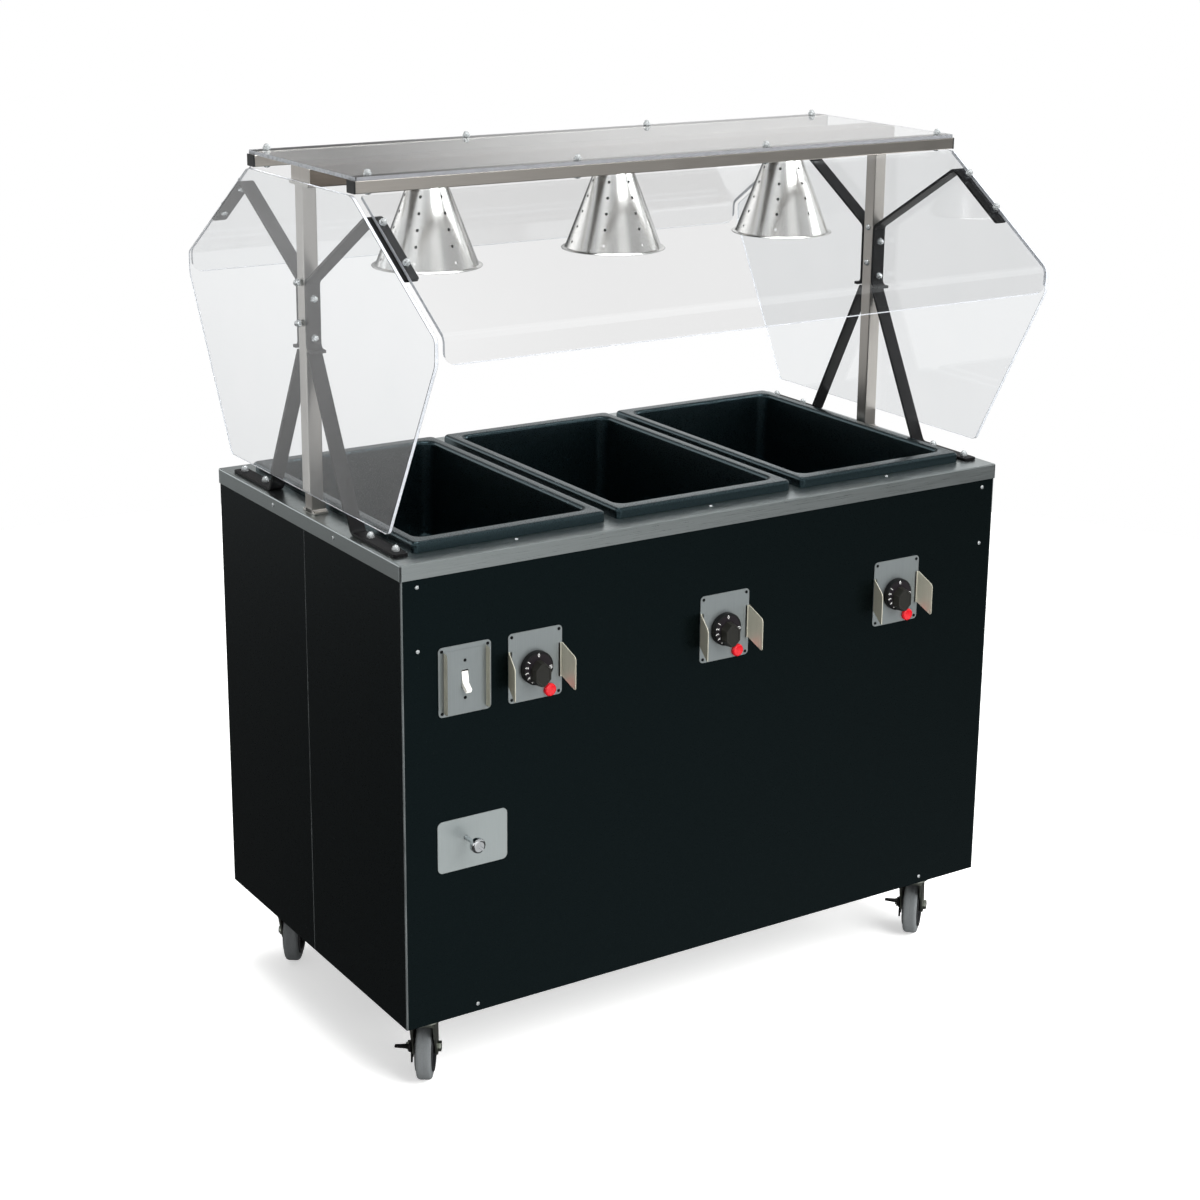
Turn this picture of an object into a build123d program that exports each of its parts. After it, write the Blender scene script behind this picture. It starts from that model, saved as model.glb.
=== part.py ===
from build123d import *
import math
import os

# Portable hot food table: a wheeled cabinet with three wells under a clear serving guard.
# Millimetres. X runs along the length, the control side faces -Y, Z is up, the floor is Z = 0.

# Countertop and cabinet shell
counter_length = 1168.0
counter_depth = 660.0
counter_height = 915.0
counter_gauge = 1.5
counter_corner = 4.0
counter_edge = 2.0
skirt_height = 25.0
skirt_gap = 0.5
wrap_gauge = 1.2
wrap_corner = 2.0
cabinet_bottom = 154.0
hem_width = 20.0
seam_gap = 0.8
base_gauge = 2.5
base_lip = 30.0
upright_leg = 40.0
upright_gauge = 1.5
seat_gap = 0.3

# Wells
well_pitch = 365.0
rim_width = 344.0
rim_depth = 570.0
rim_height = 17.0
rim_corner = 8.0
rim_wall = 5.0
rim_round = 5.0
opening_width = 304.0
opening_depth = 515.0
opening_corner = 19.0
well_wall = 4.0
well_drop = 165.0
well_draft = 2.0
cutout_gap = 1.5
drain_y = -100.0
drain_radius = 10.0
drain_boss_radius = 16.0
drain_boss_length = 42.0

# Heaters under the wells
element_radius = 4.0
element_spread = 70.0
element_length = 380.0
element_bend = 30.0
housing_width = 230.0
housing_depth = 460.0
housing_height = 32.0
housing_gauge = 1.0
housing_hole_gap = 1.5

# Drain pipes, valve and pull knob
pipe_radius = 13.35
pipe_wall = 3.0
pipe_plug = 6.0
pipe_overrun = 5.0
riser_radius = 11.0
valve_x = -475.0
valve_z = 458.0
valve_radius = 21.0
valve_height = 70.0
bonnet_radius = 12.0
bonnet_reach = 62.0
rod_radius = 3.5
rod_fit = 0.1
rod_engaged = 45.0
knob_reach = 29.0
knob_radius = 12.0
knob_length = 13.0
knob_round = 3.0
knob_slot_width = 4.0
knob_slot_depth = 3.0
outlet_neck = 4.0
spigot_radius = 12.0
spigot_length = 32.0
spigot_wall = 2.5
outlet_hole_gap = 1.5
drain_plate_width = 124.0
drain_plate_height = 86.0
drain_plate_corner = 9.0
drain_plate_shift_x = 12.0
drain_plate_shift_z = -9.0

# Control plates, dials and pilot lights
plate_gauge = 1.5
plate_corner = 7.0
plate_screw_inset = 6.0
control_pitch = 360.0
control_shift = 10.0
control_z = 719.0
control_width = 97.0
control_height = 114.0
wing_reach = 33.0
wing_root = 56.0
wing_top_fall = 18.0
wing_tip_fall = 17.0
wing_splay = 12.0
wing_round = 5.0
dial_drop = 4.0
dial_radius = 27.5
dial_edge = 8.0
dial_bevel = 2.0
dial_top_radius = 25.0
grip_width = 30.0
grip_height = 41.0
grip_drop = 6.5
grip_corner = 11.0
grip_length = 15.0
grip_draft = 5.0
grip_round = 2.0
dial_gap = 0.6
shaft_radius = 3.0
shaft_fit = 0.1
shaft_engaged = 14.0
thermostat_width = 50.0
thermostat_height = 60.0
thermostat_depth = 40.0
pilot_x = 25.4
pilot_z = -45.5
pilot_radius = 10.5
pilot_lens_height = 6.0
pilot_lens_round = 3.0
pilot_body_radius = 6.0
pilot_body_length = 24.0
pilot_fit = 0.2

# Lamp switch
switch_x = -475.0
switch_z = 719.0
switch_plate_width = 92.0
switch_plate_height = 112.0
hood_gauge = 0.8
hood_inset = 8.5
hood_reach = 12.5
hood_top_inset = 8.0
hood_bottom_inset = 6.0
hood_round = 5.0
switch_screw_rise = 30.15
switch_body_width = 32.0
switch_body_height = 70.0
switch_body_depth = 38.0
switch_cut_gap = 1.5
toggle_width = 11.0
toggle_root = 17.0
toggle_set_back = 12.0
toggle_length = 30.0
toggle_thickness = 10.0
toggle_tip = 7.0
toggle_rest = 35.0
toggle_gap = 0.3
toggle_slot_height = 30.0

# Power inlet on the rear
inlet_x = 430.0
inlet_z = 235.0
inlet_flange = 66.0
inlet_flange_depth = 4.0
inlet_corner = 8.0
inlet_radius = 27.0
inlet_depth = 34.0
inlet_wall = 3.0
inlet_fit = 0.3
blade_width = 7.0
blade_gauge = 1.6
blade_length = 18.0
blade_circle = 12.0

# Screws
screw_head_radius = 3.2
screw_head_height = 1.8
screw_radius = 2.0
screw_fit = 0.15
screw_length = 9.0
plate_screw_head_radius = 2.6
plate_screw_head_height = 1.4
plate_screw_radius = 1.5
panel_screw_inset = 27.0
panel_screw_heights = (877.0, 776.0)
hem_screw_x = 455.0
hem_screw_rise = 9.0
skirt_screw_y = 110.0
skirt_screw_drop = 12.0
well_screw_gap = 12.0

# Casters
wheel_radius = 54.0
tread_width = 25.0
tread_thickness = 13.0
tread_crown = 5.0
tread_fit = 0.05
hub_width = 30.0
hub_rim = 6.0
hub_web = 12.0
hub_boss_radius = 14.0
axle_radius = 6.0
axle_fit = 0.1
axle_head_radius = 9.0
axle_head_height = 5.5
fork_side_gap = 2.0
fork_gauge = 3.5
fork_end_radius = 13.0
fork_top_front = 26.0
fork_top_rear = 32.0
crown_gauge = 4.0
swivel_radius = 30.0
swivel_bore = 17.0
trail = 30.0
caster_plate_length = 114.0
caster_plate_width = 100.0
caster_plate_gauge = 3.5
caster_plate_corner = 8.0
kingpin_radius = 6.0
kingpin_fit = 0.1
kingpin_head_radius = 10.0
kingpin_head_height = 4.0
swivel_height = 12.0
neck_radius = 24.0
neck_height = 19.7
caster_inset_x = 72.0
caster_inset_y = 80.0
caster_bolt_x = 40.0
caster_bolt_y = 47.0
caster_bolt_radius = 4.0
caster_bolt_head = 6.5
caster_bolt_head_height = 4.0
brake_gauge = 3.0
brake_gap = 0.3
brake_eye_radius = 12.0
brake_reach = 38.0
brake_rise = 18.0
brake_end_radius = 7.0
pedal_width = 26.0
pedal_tip = 8.0
toe_width = 22.0
toe_drop = 25.0
toe_arch = 7.0
pedal_depth = 15.0
heading_front_left = 34.0
heading_front_right = 47.0
heading_rear_left = 35.0
heading_rear_right = 60.0

# Guard posts and shelf
post_size = 25.4
post_wall = 1.6
post_inset = 24.0
post_foot = 42.0
post_foot_gauge = 4.0
shelf_top = 1470.0
shelf_half_depth = 188.0
sheet_gauge = 6.0
sheet_corner = 3.0
rail_height = 19.0
rail_width = 25.0
rail_wall = 1.5
raceway_height = 28.0
raceway_width = 64.0
raceway_wall = 1.2
cap_gauge = 3.0
cap_plug = 14.0
cap_fit = 0.1

# Guard panels
panel_drop = 3.0
panel_top_half = 184.0
panel_wide_half = 434.0
panel_upper_z = 1272.0
panel_lower_z = 1235.0
panel_bottom_half = 282.0
panel_bottom_z = 950.0
panel_round = 14.0
slope_gap = 2.0
slope_bend = 12.0
slope_corner = 20.0
slope_side_gap = 6.0
slope_top_gap = 1.0

# Guard brackets and legs
bar_width = 25.0
bar_gauge = 5.0
bar_bend = 8.5
flange_z = 1178.0
flange_length = 21.0
strap_top_z = 1290.0
tab_start = 36.0
tab_length = 138.0
leg_set_off = 1.5
leg_spread = 150.0
foot_length = 140.0

# Acorn bolts
bolt_radius = 3.0
bolt_fit = 0.15
nut_radius = 6.2
nut_height = 4.5
dome_radius = 5.0
bolt_head_radius = 5.5
bolt_head_height = 3.5
shelf_bolt_end = 26.0
shelf_bolt_middle = 182.0
strap_bolt_heights = (1262.0, 1200.0)
panel_bolt_heights = (1286.0, 1222.0)
tab_bolt_offsets = (26.0, 112.0)
foot_bolt_offsets = (40.0, 122.0)

# Heat lamps
lamp_pitch = 352.0
shade_top_radius = 28.0
shade_bottom_radius = 81.0
shade_height = 142.0
shade_gauge = 1.2
shade_flange = 6.0
shade_flange_rise = 1.5
shade_hole_radius = 2.4
shade_hole_columns = 7
shade_hole_turn = -135.0
shade_hole_rows = 5
shade_hole_first = 14.0
shade_hole_step = 25.0
socket_radius = 19.0
socket_length = 42.0
socket_bore = 14.0
socket_bore_depth = 26.0
nipple_radius = 6.5
nipple_length = 14.0
nipple_fit = 0.2
bulb_neck_radius = 13.0
bulb_radius = 55.0
bulb_neck_length = 34.0
bulb_cone_length = 54.0
bulb_rim = 18.0
bulb_round = 10.0
bulb_wall = 1.5
bulb_vent = 4.0

# Places that follow from the sizes above
half_length = counter_length / 2
half_depth = counter_depth / 2
counter_under = counter_height - counter_gauge
wrap_half_x = half_length - counter_gauge - skirt_gap
wrap_half_y = half_depth - counter_gauge - skirt_gap
inner_half_x = wrap_half_x - wrap_gauge
inner_half_y = wrap_half_y - wrap_gauge
base_z = cabinet_bottom + wrap_gauge
base_half_x = inner_half_x - seat_gap
base_half_y = inner_half_y - seat_gap
base_top = base_z + base_gauge
front_face = -wrap_half_y
plate_front = front_face - plate_gauge

well_names = ("left", "center", "right")
well_centers = [(step * well_pitch, 0) for step in (-1, 0, 1)]
well_bottom = counter_height - well_drop
rim_top = counter_height + rim_height
well_body_width = opening_width + 2 * well_wall
well_body_depth = opening_depth + 2 * well_wall
well_body_corner = opening_corner + well_wall
cutout_width = well_body_width + 2 * cutout_gap
cutout_depth = well_body_depth + 2 * cutout_gap
cutout_corner = well_body_corner + cutout_gap
drain_centers = [(x, drain_y) for x, y in well_centers]
drain_boss_bottom = well_bottom - drain_boss_length
manifold_z = drain_boss_bottom - pipe_radius - pipe_wall

control_xs = [control_shift + step * control_pitch for step in (-1, 0, 1)]

caster_x = wrap_half_x - caster_inset_x
caster_y = wrap_half_y - caster_inset_y
caster_plate_z = base_z - caster_plate_gauge
neck_bottom = caster_plate_z - neck_height
crown_top = neck_bottom - swivel_height
crown_bottom = crown_top - crown_gauge
fork_inner = hub_width / 2 + fork_side_gap
fork_outer = fork_inner + fork_gauge
hub_radius = wheel_radius - tread_thickness

post_x = half_length - post_inset
post_half = post_size / 2
shelf_half_length = post_x + post_half
sheet_under = shelf_top - sheet_gauge
rail_bottom = sheet_under - rail_height
rail_y = shelf_half_depth - rail_width / 2
raceway_bottom = sheet_under - raceway_height
panel_top_z = rail_bottom - panel_drop

lamp_centers = [(step * lamp_pitch, 0) for step in (-1, 0, 1)]
shade_top = raceway_bottom
shade_bottom = shade_top - shade_height

panel_screw_x = wrap_half_x - panel_screw_inset
panel_screw_points = [(sx * panel_screw_x, z) for sx in (-1, 1) for z in panel_screw_heights]
hem_screw_points = [(sx * hem_screw_x, base_top + hem_screw_rise) for sx in (-1, 1)]
skirt_screw_z = counter_height - skirt_screw_drop
skirt_screw_points = [(sy * skirt_screw_y, skirt_screw_z) for sy in (-1, 1)]
well_screw_y = rim_depth / 2 + well_screw_gap
well_screw_points = [(x, sy * well_screw_y) for x, y in well_centers for sy in (-1, 1)]

foot_bolt_points = [
    (sx * post_x, sy * (leg_spread + offset))
    for sx in (-1, 1)
    for sy in (-1, 1)
    for offset in foot_bolt_offsets
]
shelf_bolt_x = shelf_half_length - shelf_bolt_end
shelf_bolt_points = [
    (x, sy * rail_y)
    for x in (-shelf_bolt_x, -shelf_bolt_middle, shelf_bolt_middle, shelf_bolt_x)
    for sy in (-1, 1)
]

os.makedirs("parts", exist_ok=True)


def write_part(shape, name):
    shape.label = name
    export_step(shape, f"parts/{name}.step")


def front_plane(x, y, z):
    # A sketch plane on the control side: its x runs along +X, its y along +Z, and it faces the user.
    return Plane(origin=(x, y, z), x_dir=(1, 0, 0), z_dir=(0, -1, 0))


def corner_points(width, height, inset):
    dx = width / 2 - inset
    dz = height / 2 - inset
    return [(sx * dx, sz * dz) for sx in (-1, 1) for sz in (-1, 1)]


# Countertop: one folded sheet with a skirt, three cut-outs and the guard's bolt holes
with BuildPart() as countertop:
    with BuildSketch(Plane.XY.offset(counter_height)):
        RectangleRounded(counter_length, counter_depth, counter_corner)
    extrude(amount=-skirt_height)
    fillet(countertop.faces().sort_by(Axis.Z)[-1].edges(), radius=counter_edge)
    with BuildSketch(Plane.XY.offset(counter_under)):
        RectangleRounded(
            counter_length - 2 * counter_gauge,
            counter_depth - 2 * counter_gauge,
            counter_corner - counter_gauge,
        )
    extrude(amount=-skirt_height, mode=Mode.SUBTRACT)
    with BuildSketch(Plane.XY.offset(counter_height)):
        with Locations(well_centers):
            RectangleRounded(cutout_width, cutout_depth, cutout_corner)
        with Locations(foot_bolt_points):
            Circle(bolt_radius + bolt_fit)
        with Locations(well_screw_points):
            Circle(screw_radius + screw_fit)
    extrude(amount=-2 * counter_gauge, mode=Mode.SUBTRACT)
    with BuildSketch(Plane.YZ):
        with Locations(skirt_screw_points):
            Circle(screw_radius + screw_fit)
    extrude(amount=counter_length, both=True, mode=Mode.SUBTRACT)
write_part(countertop.part, "countertop")


# Cabinet wraps: two folded sheets, front and rear, which meet at a seam halfway along each end
def wrap_shell(side):
    wrap_depth = wrap_half_y - seam_gap / 2
    middle_y = side * (wrap_half_y + seam_gap / 2) / 2
    with BuildPart() as wrap:
        with BuildSketch(Plane.XY.offset(cabinet_bottom)):
            with Locations((0, middle_y)):
                Rectangle(2 * wrap_half_x, wrap_depth)
        extrude(amount=counter_under - cabinet_bottom)
        outer_corners = wrap.edges().filter_by(Axis.Z).group_by(Axis.Y)
        fillet(outer_corners[-1] if side > 0 else outer_corners[0], radius=wrap_corner)
        with BuildSketch(Plane.XY.offset(base_z)):
            with Locations((0, middle_y - side * wrap_gauge)):
                Rectangle(2 * inner_half_x, wrap_depth)
        extrude(amount=counter_height, mode=Mode.SUBTRACT)
        with BuildSketch(Plane.XY.offset(cabinet_bottom)):
            with Locations((0, middle_y - side * hem_width)):
                Rectangle(2 * (wrap_half_x - hem_width), wrap_depth)
        extrude(amount=wrap_gauge, mode=Mode.SUBTRACT)
        with BuildSketch(Plane.XZ.offset(-side * wrap_half_y)):
            with Locations(panel_screw_points + hem_screw_points):
                Circle(screw_radius + screw_fit)
        extrude(amount=2 * wrap_gauge, both=True, mode=Mode.SUBTRACT)
        with BuildSketch(Plane.YZ):
            with Locations((side * skirt_screw_y, skirt_screw_z)):
                Circle(screw_radius + screw_fit)
        extrude(amount=counter_length, both=True, mode=Mode.SUBTRACT)
    return wrap.part


switch_hole_width = switch_body_width + 2 * switch_cut_gap
switch_hole_height = switch_body_height + 2 * switch_cut_gap

with BuildPart() as front_wrap:
    add(wrap_shell(-1))
    for control_x in control_xs:
        with BuildSketch(front_plane(control_x, front_face, control_z)):
            with Locations((0, -dial_drop)):
                Circle(shaft_radius + shaft_fit)
            with Locations((pilot_x, pilot_z)):
                Circle(pilot_body_radius + pilot_fit)
            with Locations(corner_points(control_width, control_height, plate_screw_inset)):
                Circle(plate_screw_radius + screw_fit)
        extrude(amount=-2 * wrap_gauge, mode=Mode.SUBTRACT)
    with BuildSketch(front_plane(switch_x, front_face, switch_z)):
        Rectangle(switch_hole_width, switch_hole_height)
        with Locations(corner_points(switch_plate_width, switch_plate_height, plate_screw_inset)):
            Circle(plate_screw_radius + screw_fit)
    extrude(amount=-2 * wrap_gauge, mode=Mode.SUBTRACT)
    with BuildSketch(front_plane(valve_x, front_face, valve_z)):
        Circle(rod_radius + rod_fit)
    extrude(amount=-2 * wrap_gauge, mode=Mode.SUBTRACT)
write_part(front_wrap.part, "front_wrap")

with BuildPart() as rear_wrap:
    add(wrap_shell(1))
    with BuildSketch(Plane.XZ.offset(-wrap_half_y)):
        with Locations((inlet_x, inlet_z)):
            Circle(inlet_radius + inlet_fit)
    extrude(amount=2 * wrap_gauge, both=True, mode=Mode.SUBTRACT)
write_part(rear_wrap.part, "rear_wrap")

# Base pan: a shallow tray on the wraps' hems, which carries the casters
caster_centers = {
    "front_left": (-caster_x, -caster_y, heading_front_left),
    "front_right": (caster_x, -caster_y, heading_front_right),
    "rear_left": (-caster_x, caster_y, heading_rear_left),
    "rear_right": (caster_x, caster_y, heading_rear_right),
}
caster_bolt_points = [
    (x + sx * caster_bolt_x, y + sy * caster_bolt_y)
    for x, y, heading in caster_centers.values()
    for sx in (-1, 1)
    for sy in (-1, 1)
]

with BuildPart() as base_pan:
    with BuildSketch(Plane.XY.offset(base_z)):
        Rectangle(2 * base_half_x, 2 * base_half_y)
    extrude(amount=base_lip)
    with BuildSketch(Plane.XY.offset(base_top)):
        Rectangle(2 * (base_half_x - base_gauge), 2 * (base_half_y - base_gauge))
    extrude(amount=base_lip, mode=Mode.SUBTRACT)
    with BuildSketch(Plane.XY.offset(base_z)):
        with Locations((valve_x, drain_y)):
            Circle(pipe_radius + outlet_hole_gap)
        with Locations(caster_bolt_points):
            Circle(caster_bolt_radius + bolt_fit)
    extrude(amount=2 * base_gauge, mode=Mode.SUBTRACT)
    with BuildSketch(Plane.XZ):
        with Locations(hem_screw_points):
            Circle(screw_radius + screw_fit)
    extrude(amount=counter_depth, both=True, mode=Mode.SUBTRACT)
write_part(base_pan.part, "base_pan")

# Corner uprights: four angles which stand on the base pan and carry the countertop
upright_half_x = base_half_x - base_gauge
upright_half_y = base_half_y - base_gauge
upright_offset_x = upright_half_x - upright_leg / 2
upright_offset_y = upright_half_y - upright_leg / 2

with BuildPart() as corner_uprights:
    with BuildSketch(Plane.XY.offset(base_top)):
        with GridLocations(2 * upright_offset_x, 2 * upright_offset_y, 2, 2):
            Rectangle(upright_leg, upright_leg)
        Rectangle(
            2 * (upright_half_x - upright_gauge),
            2 * (upright_half_y - upright_gauge),
            mode=Mode.SUBTRACT,
        )
    extrude(amount=counter_under - base_top)
    with BuildSketch(Plane.XZ):
        with Locations(panel_screw_points):
            Circle(screw_radius + screw_fit)
    extrude(amount=counter_depth, both=True, mode=Mode.SUBTRACT)
write_part(corner_uprights.part, "corner_uprights")

# Wells: moulded basins which hang by a raised rim, each with a drain boss under its floor
for well_name, (well_x, well_y) in zip(well_names, well_centers):
    with BuildPart() as well:
        with BuildSketch(Plane.XY.offset(counter_height)):
            with Locations((well_x, well_y)):
                RectangleRounded(rim_width, rim_depth, rim_corner)
        extrude(amount=rim_height)
        fillet(well.faces().sort_by(Axis.Z)[-1].edges(), radius=rim_round)
        with BuildSketch(Plane.XY.offset(counter_height)):
            with Locations((well_x, well_y)):
                RectangleRounded(
                    rim_width - 2 * rim_wall, rim_depth - 2 * rim_wall, rim_corner - rim_wall
                )
        extrude(amount=rim_height - rim_wall, mode=Mode.SUBTRACT)
        with BuildSketch(Plane.XY.offset(rim_top - rim_wall)):
            with Locations((well_x, well_y)):
                RectangleRounded(well_body_width, well_body_depth, well_body_corner)
        extrude(amount=-(rim_height - rim_wall + well_drop), taper=well_draft)
        with BuildSketch(Plane.XY.offset(well_bottom)):
            with Locations((well_x, drain_y)):
                Circle(drain_boss_radius)
        extrude(amount=-drain_boss_length)
        with BuildSketch(Plane.XY.offset(rim_top)):
            with Locations((well_x, well_y)):
                RectangleRounded(opening_width, opening_depth, opening_corner)
        extrude(amount=-(rim_height + well_drop - well_wall), taper=well_draft, mode=Mode.SUBTRACT)
        with BuildSketch(Plane.XY.offset(rim_top)):
            with Locations((well_x, drain_y)):
                Circle(drain_radius)
        extrude(amount=-(rim_top - drain_boss_bottom), mode=Mode.SUBTRACT)
        fillet(well.faces().sort_by(Axis.Z)[-1].inner_wires()[0].edges(), radius=rim_round)
    write_part(well.part, f"well_{well_name}")

# Heater housings: open-topped pans against the wells' floors
housing_floor = well_bottom - housing_height

with BuildPart() as heater_housings:
    with BuildSketch(Plane.XY.offset(housing_floor)):
        with Locations(well_centers):
            Rectangle(housing_width, housing_depth)
    extrude(amount=housing_height)
    with BuildSketch(Plane.XY.offset(housing_floor + housing_gauge)):
        with Locations(well_centers):
            Rectangle(housing_width - 2 * housing_gauge, housing_depth - 2 * housing_gauge)
    extrude(amount=housing_height, mode=Mode.SUBTRACT)
    with BuildSketch(Plane.XY.offset(housing_floor)):
        with Locations(drain_centers):
            Circle(drain_boss_radius + housing_hole_gap)
    extrude(amount=2 * housing_gauge, mode=Mode.SUBTRACT)
write_part(heater_housings.part, "heater_housings")

# Heating elements: one tubular loop under each well's floor
element_z = well_bottom - seat_gap - element_radius

with BuildPart() as heater_elements:
    for well_x, well_y in well_centers:
        with BuildLine(Plane.XY.offset(element_z)) as element_path:
            FilletPolyline(
                (well_x - element_spread, -element_length / 2),
                (well_x - element_spread, element_length / 2),
                (well_x + element_spread, element_length / 2),
                (well_x + element_spread, -element_length / 2),
                radius=element_bend,
            )
        with BuildSketch(Plane(element_path.line @ 0, z_dir=element_path.line % 0)):
            Circle(element_radius)
        sweep(path=element_path.line)
write_part(heater_elements.part, "heater_elements")

# Drain manifold: risers from the wells, a main along the cabinet and a drop to the valve
manifold_end = well_pitch + pipe_radius + pipe_overrun
manifold_start = valve_x - pipe_radius - pipe_overrun
manifold_length = manifold_end - manifold_start
valve_top = valve_z + valve_height / 2

with BuildPart() as drain_manifold:
    with BuildSketch(Plane.YZ.offset(manifold_start)):
        with Locations((drain_y, manifold_z)):
            Circle(pipe_radius)
    extrude(amount=manifold_length)
    with BuildSketch(Plane.XY.offset(manifold_z)):
        with Locations(drain_centers):
            Circle(riser_radius)
    extrude(amount=drain_boss_bottom - manifold_z)
    with BuildSketch(Plane.XY.offset(manifold_z)):
        with Locations((valve_x, drain_y)):
            Circle(riser_radius)
    extrude(amount=valve_top - manifold_z)
    with BuildSketch(Plane.YZ.offset(manifold_start + pipe_plug)):
        with Locations((drain_y, manifold_z)):
            Circle(pipe_radius - pipe_wall)
    extrude(amount=manifold_length - 2 * pipe_plug, mode=Mode.SUBTRACT)
    with BuildSketch(Plane.XY.offset(manifold_z)):
        with Locations(drain_centers):
            Circle(riser_radius - pipe_wall)
    extrude(amount=drain_boss_bottom - manifold_z, mode=Mode.SUBTRACT)
    with BuildSketch(Plane.XY.offset(manifold_z)):
        with Locations((valve_x, drain_y)):
            Circle(riser_radius - pipe_wall)
    extrude(amount=valve_top - manifold_z, mode=Mode.SUBTRACT)
write_part(drain_manifold.part, "drain_manifold")

# Drain valve: a body on the drop pipe, a bonnet for the pull rod and an outlet under the base
valve_bottom = valve_z - valve_height / 2
pipe_bottom = cabinet_bottom - outlet_neck
spigot_bottom = pipe_bottom - spigot_length
bonnet_face = drain_y - bonnet_reach

with BuildPart() as drain_valve:
    with BuildSketch(Plane.XY.offset(valve_bottom)):
        with Locations((valve_x, drain_y)):
            Circle(valve_radius)
    extrude(amount=valve_height)
    with BuildSketch(Plane.XY.offset(valve_bottom)):
        with Locations((valve_x, drain_y)):
            Circle(pipe_radius)
    extrude(amount=pipe_bottom - valve_bottom)
    with BuildSketch(Plane.XY.offset(pipe_bottom)):
        with Locations((valve_x, drain_y)):
            Circle(spigot_radius)
    extrude(amount=-spigot_length)
    with BuildSketch(front_plane(valve_x, drain_y, valve_z)):
        Circle(bonnet_radius)
    extrude(amount=bonnet_reach)
    with BuildSketch(Plane.XY.offset(valve_bottom)):
        with Locations((valve_x, drain_y)):
            Circle(spigot_radius - spigot_wall)
    extrude(amount=spigot_bottom - valve_bottom, mode=Mode.SUBTRACT)
    with BuildSketch(front_plane(valve_x, bonnet_face, valve_z)):
        Circle(rod_radius + rod_fit)
    extrude(amount=-(rod_engaged + seat_gap), mode=Mode.SUBTRACT)
write_part(drain_valve.part, "drain_valve")

# Drain plate and the pull knob on its rod
with BuildPart() as drain_plate:
    with BuildSketch(front_plane(valve_x, front_face, valve_z)):
        with Locations((drain_plate_shift_x, drain_plate_shift_z)):
            RectangleRounded(drain_plate_width, drain_plate_height, drain_plate_corner)
        Circle(rod_radius + rod_fit, mode=Mode.SUBTRACT)
    extrude(amount=plate_gauge)
write_part(drain_plate.part, "drain_plate")

rod_tail = bonnet_face + rod_engaged
knob_back = plate_front - knob_reach

with BuildPart() as drain_knob:
    with BuildSketch(front_plane(valve_x, rod_tail, valve_z)):
        Circle(rod_radius)
    extrude(amount=rod_tail - knob_back)
    with BuildSketch(front_plane(valve_x, knob_back, valve_z)):
        Circle(knob_radius)
    extrude(amount=knob_length)
    fillet(drain_knob.edges().filter_by(GeomType.CIRCLE).sort_by(Axis.Y)[0], radius=knob_round)
    with BuildSketch(front_plane(valve_x, knob_back - knob_length, valve_z)):
        with Locations((knob_radius / 2, -knob_radius / 2)):
            Rectangle(knob_radius, knob_slot_width, rotation=-45)
    extrude(amount=-knob_slot_depth, mode=Mode.SUBTRACT)
write_part(drain_knob.part, "drain_knob")

# Control plates: a flat plate with a bent wing on each side of the dial
splay = math.radians(wing_splay)
wing_foot = front_face - plate_gauge / 2

with BuildPart() as control_plates:
    for control_x in control_xs:
        with BuildSketch(front_plane(control_x, front_face, control_z)):
            RectangleRounded(control_width, control_height, plate_corner)
        extrude(amount=plate_gauge)
        for side in (-1, 1):
            wing_plane = Plane(
                origin=(control_x + side * (control_width / 2 - plate_gauge), wing_foot, control_z),
                x_dir=(side * math.sin(splay), -math.cos(splay), 0),
                z_dir=(-math.cos(splay), -side * math.sin(splay), 0),
            )
            with BuildSketch(wing_plane) as wing:
                with BuildLine():
                    Polyline(
                        (0, wing_root / 2),
                        (plate_gauge, wing_root / 2),
                        (wing_reach, wing_root / 2 - wing_top_fall),
                        (wing_reach, -wing_root / 2 - wing_tip_fall),
                        (plate_gauge, -wing_root / 2),
                        (0, -wing_root / 2),
                        close=True,
                    )
                make_face()
                fillet(wing.vertices().group_by(Axis.X)[-1], radius=wing_round)
            extrude(amount=-side * plate_gauge)
        with BuildSketch(front_plane(control_x, front_face, control_z)):
            with Locations((0, -dial_drop)):
                Circle(shaft_radius + shaft_fit)
            with Locations((pilot_x, pilot_z)):
                Circle(pilot_body_radius + pilot_fit)
            with Locations(corner_points(control_width, control_height, plate_screw_inset)):
                Circle(plate_screw_radius + screw_fit)
        extrude(amount=plate_gauge, mode=Mode.SUBTRACT)
write_part(control_plates.part, "control_plates")

# Thermostats behind the front wrap, with a bore for each dial's shaft
thermostat_face = front_face + wrap_gauge
dial_z = control_z - dial_drop

with BuildPart() as thermostats:
    for control_x in control_xs:
        with BuildSketch(front_plane(control_x, thermostat_face, dial_z)):
            Rectangle(thermostat_width, thermostat_height)
        extrude(amount=-thermostat_depth)
        with BuildSketch(front_plane(control_x, thermostat_face, dial_z)):
            Circle(shaft_radius + shaft_fit)
        extrude(amount=-(shaft_engaged + seat_gap), mode=Mode.SUBTRACT)
write_part(thermostats.part, "thermostats")

# Dials: a deep skirt with a flat face for the numbers, a long faceted grip and a shaft
dial_back = plate_front - dial_gap
shaft_end = thermostat_face + shaft_engaged
bevel_draft = math.degrees(math.atan2(dial_radius - dial_top_radius, dial_bevel))

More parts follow.
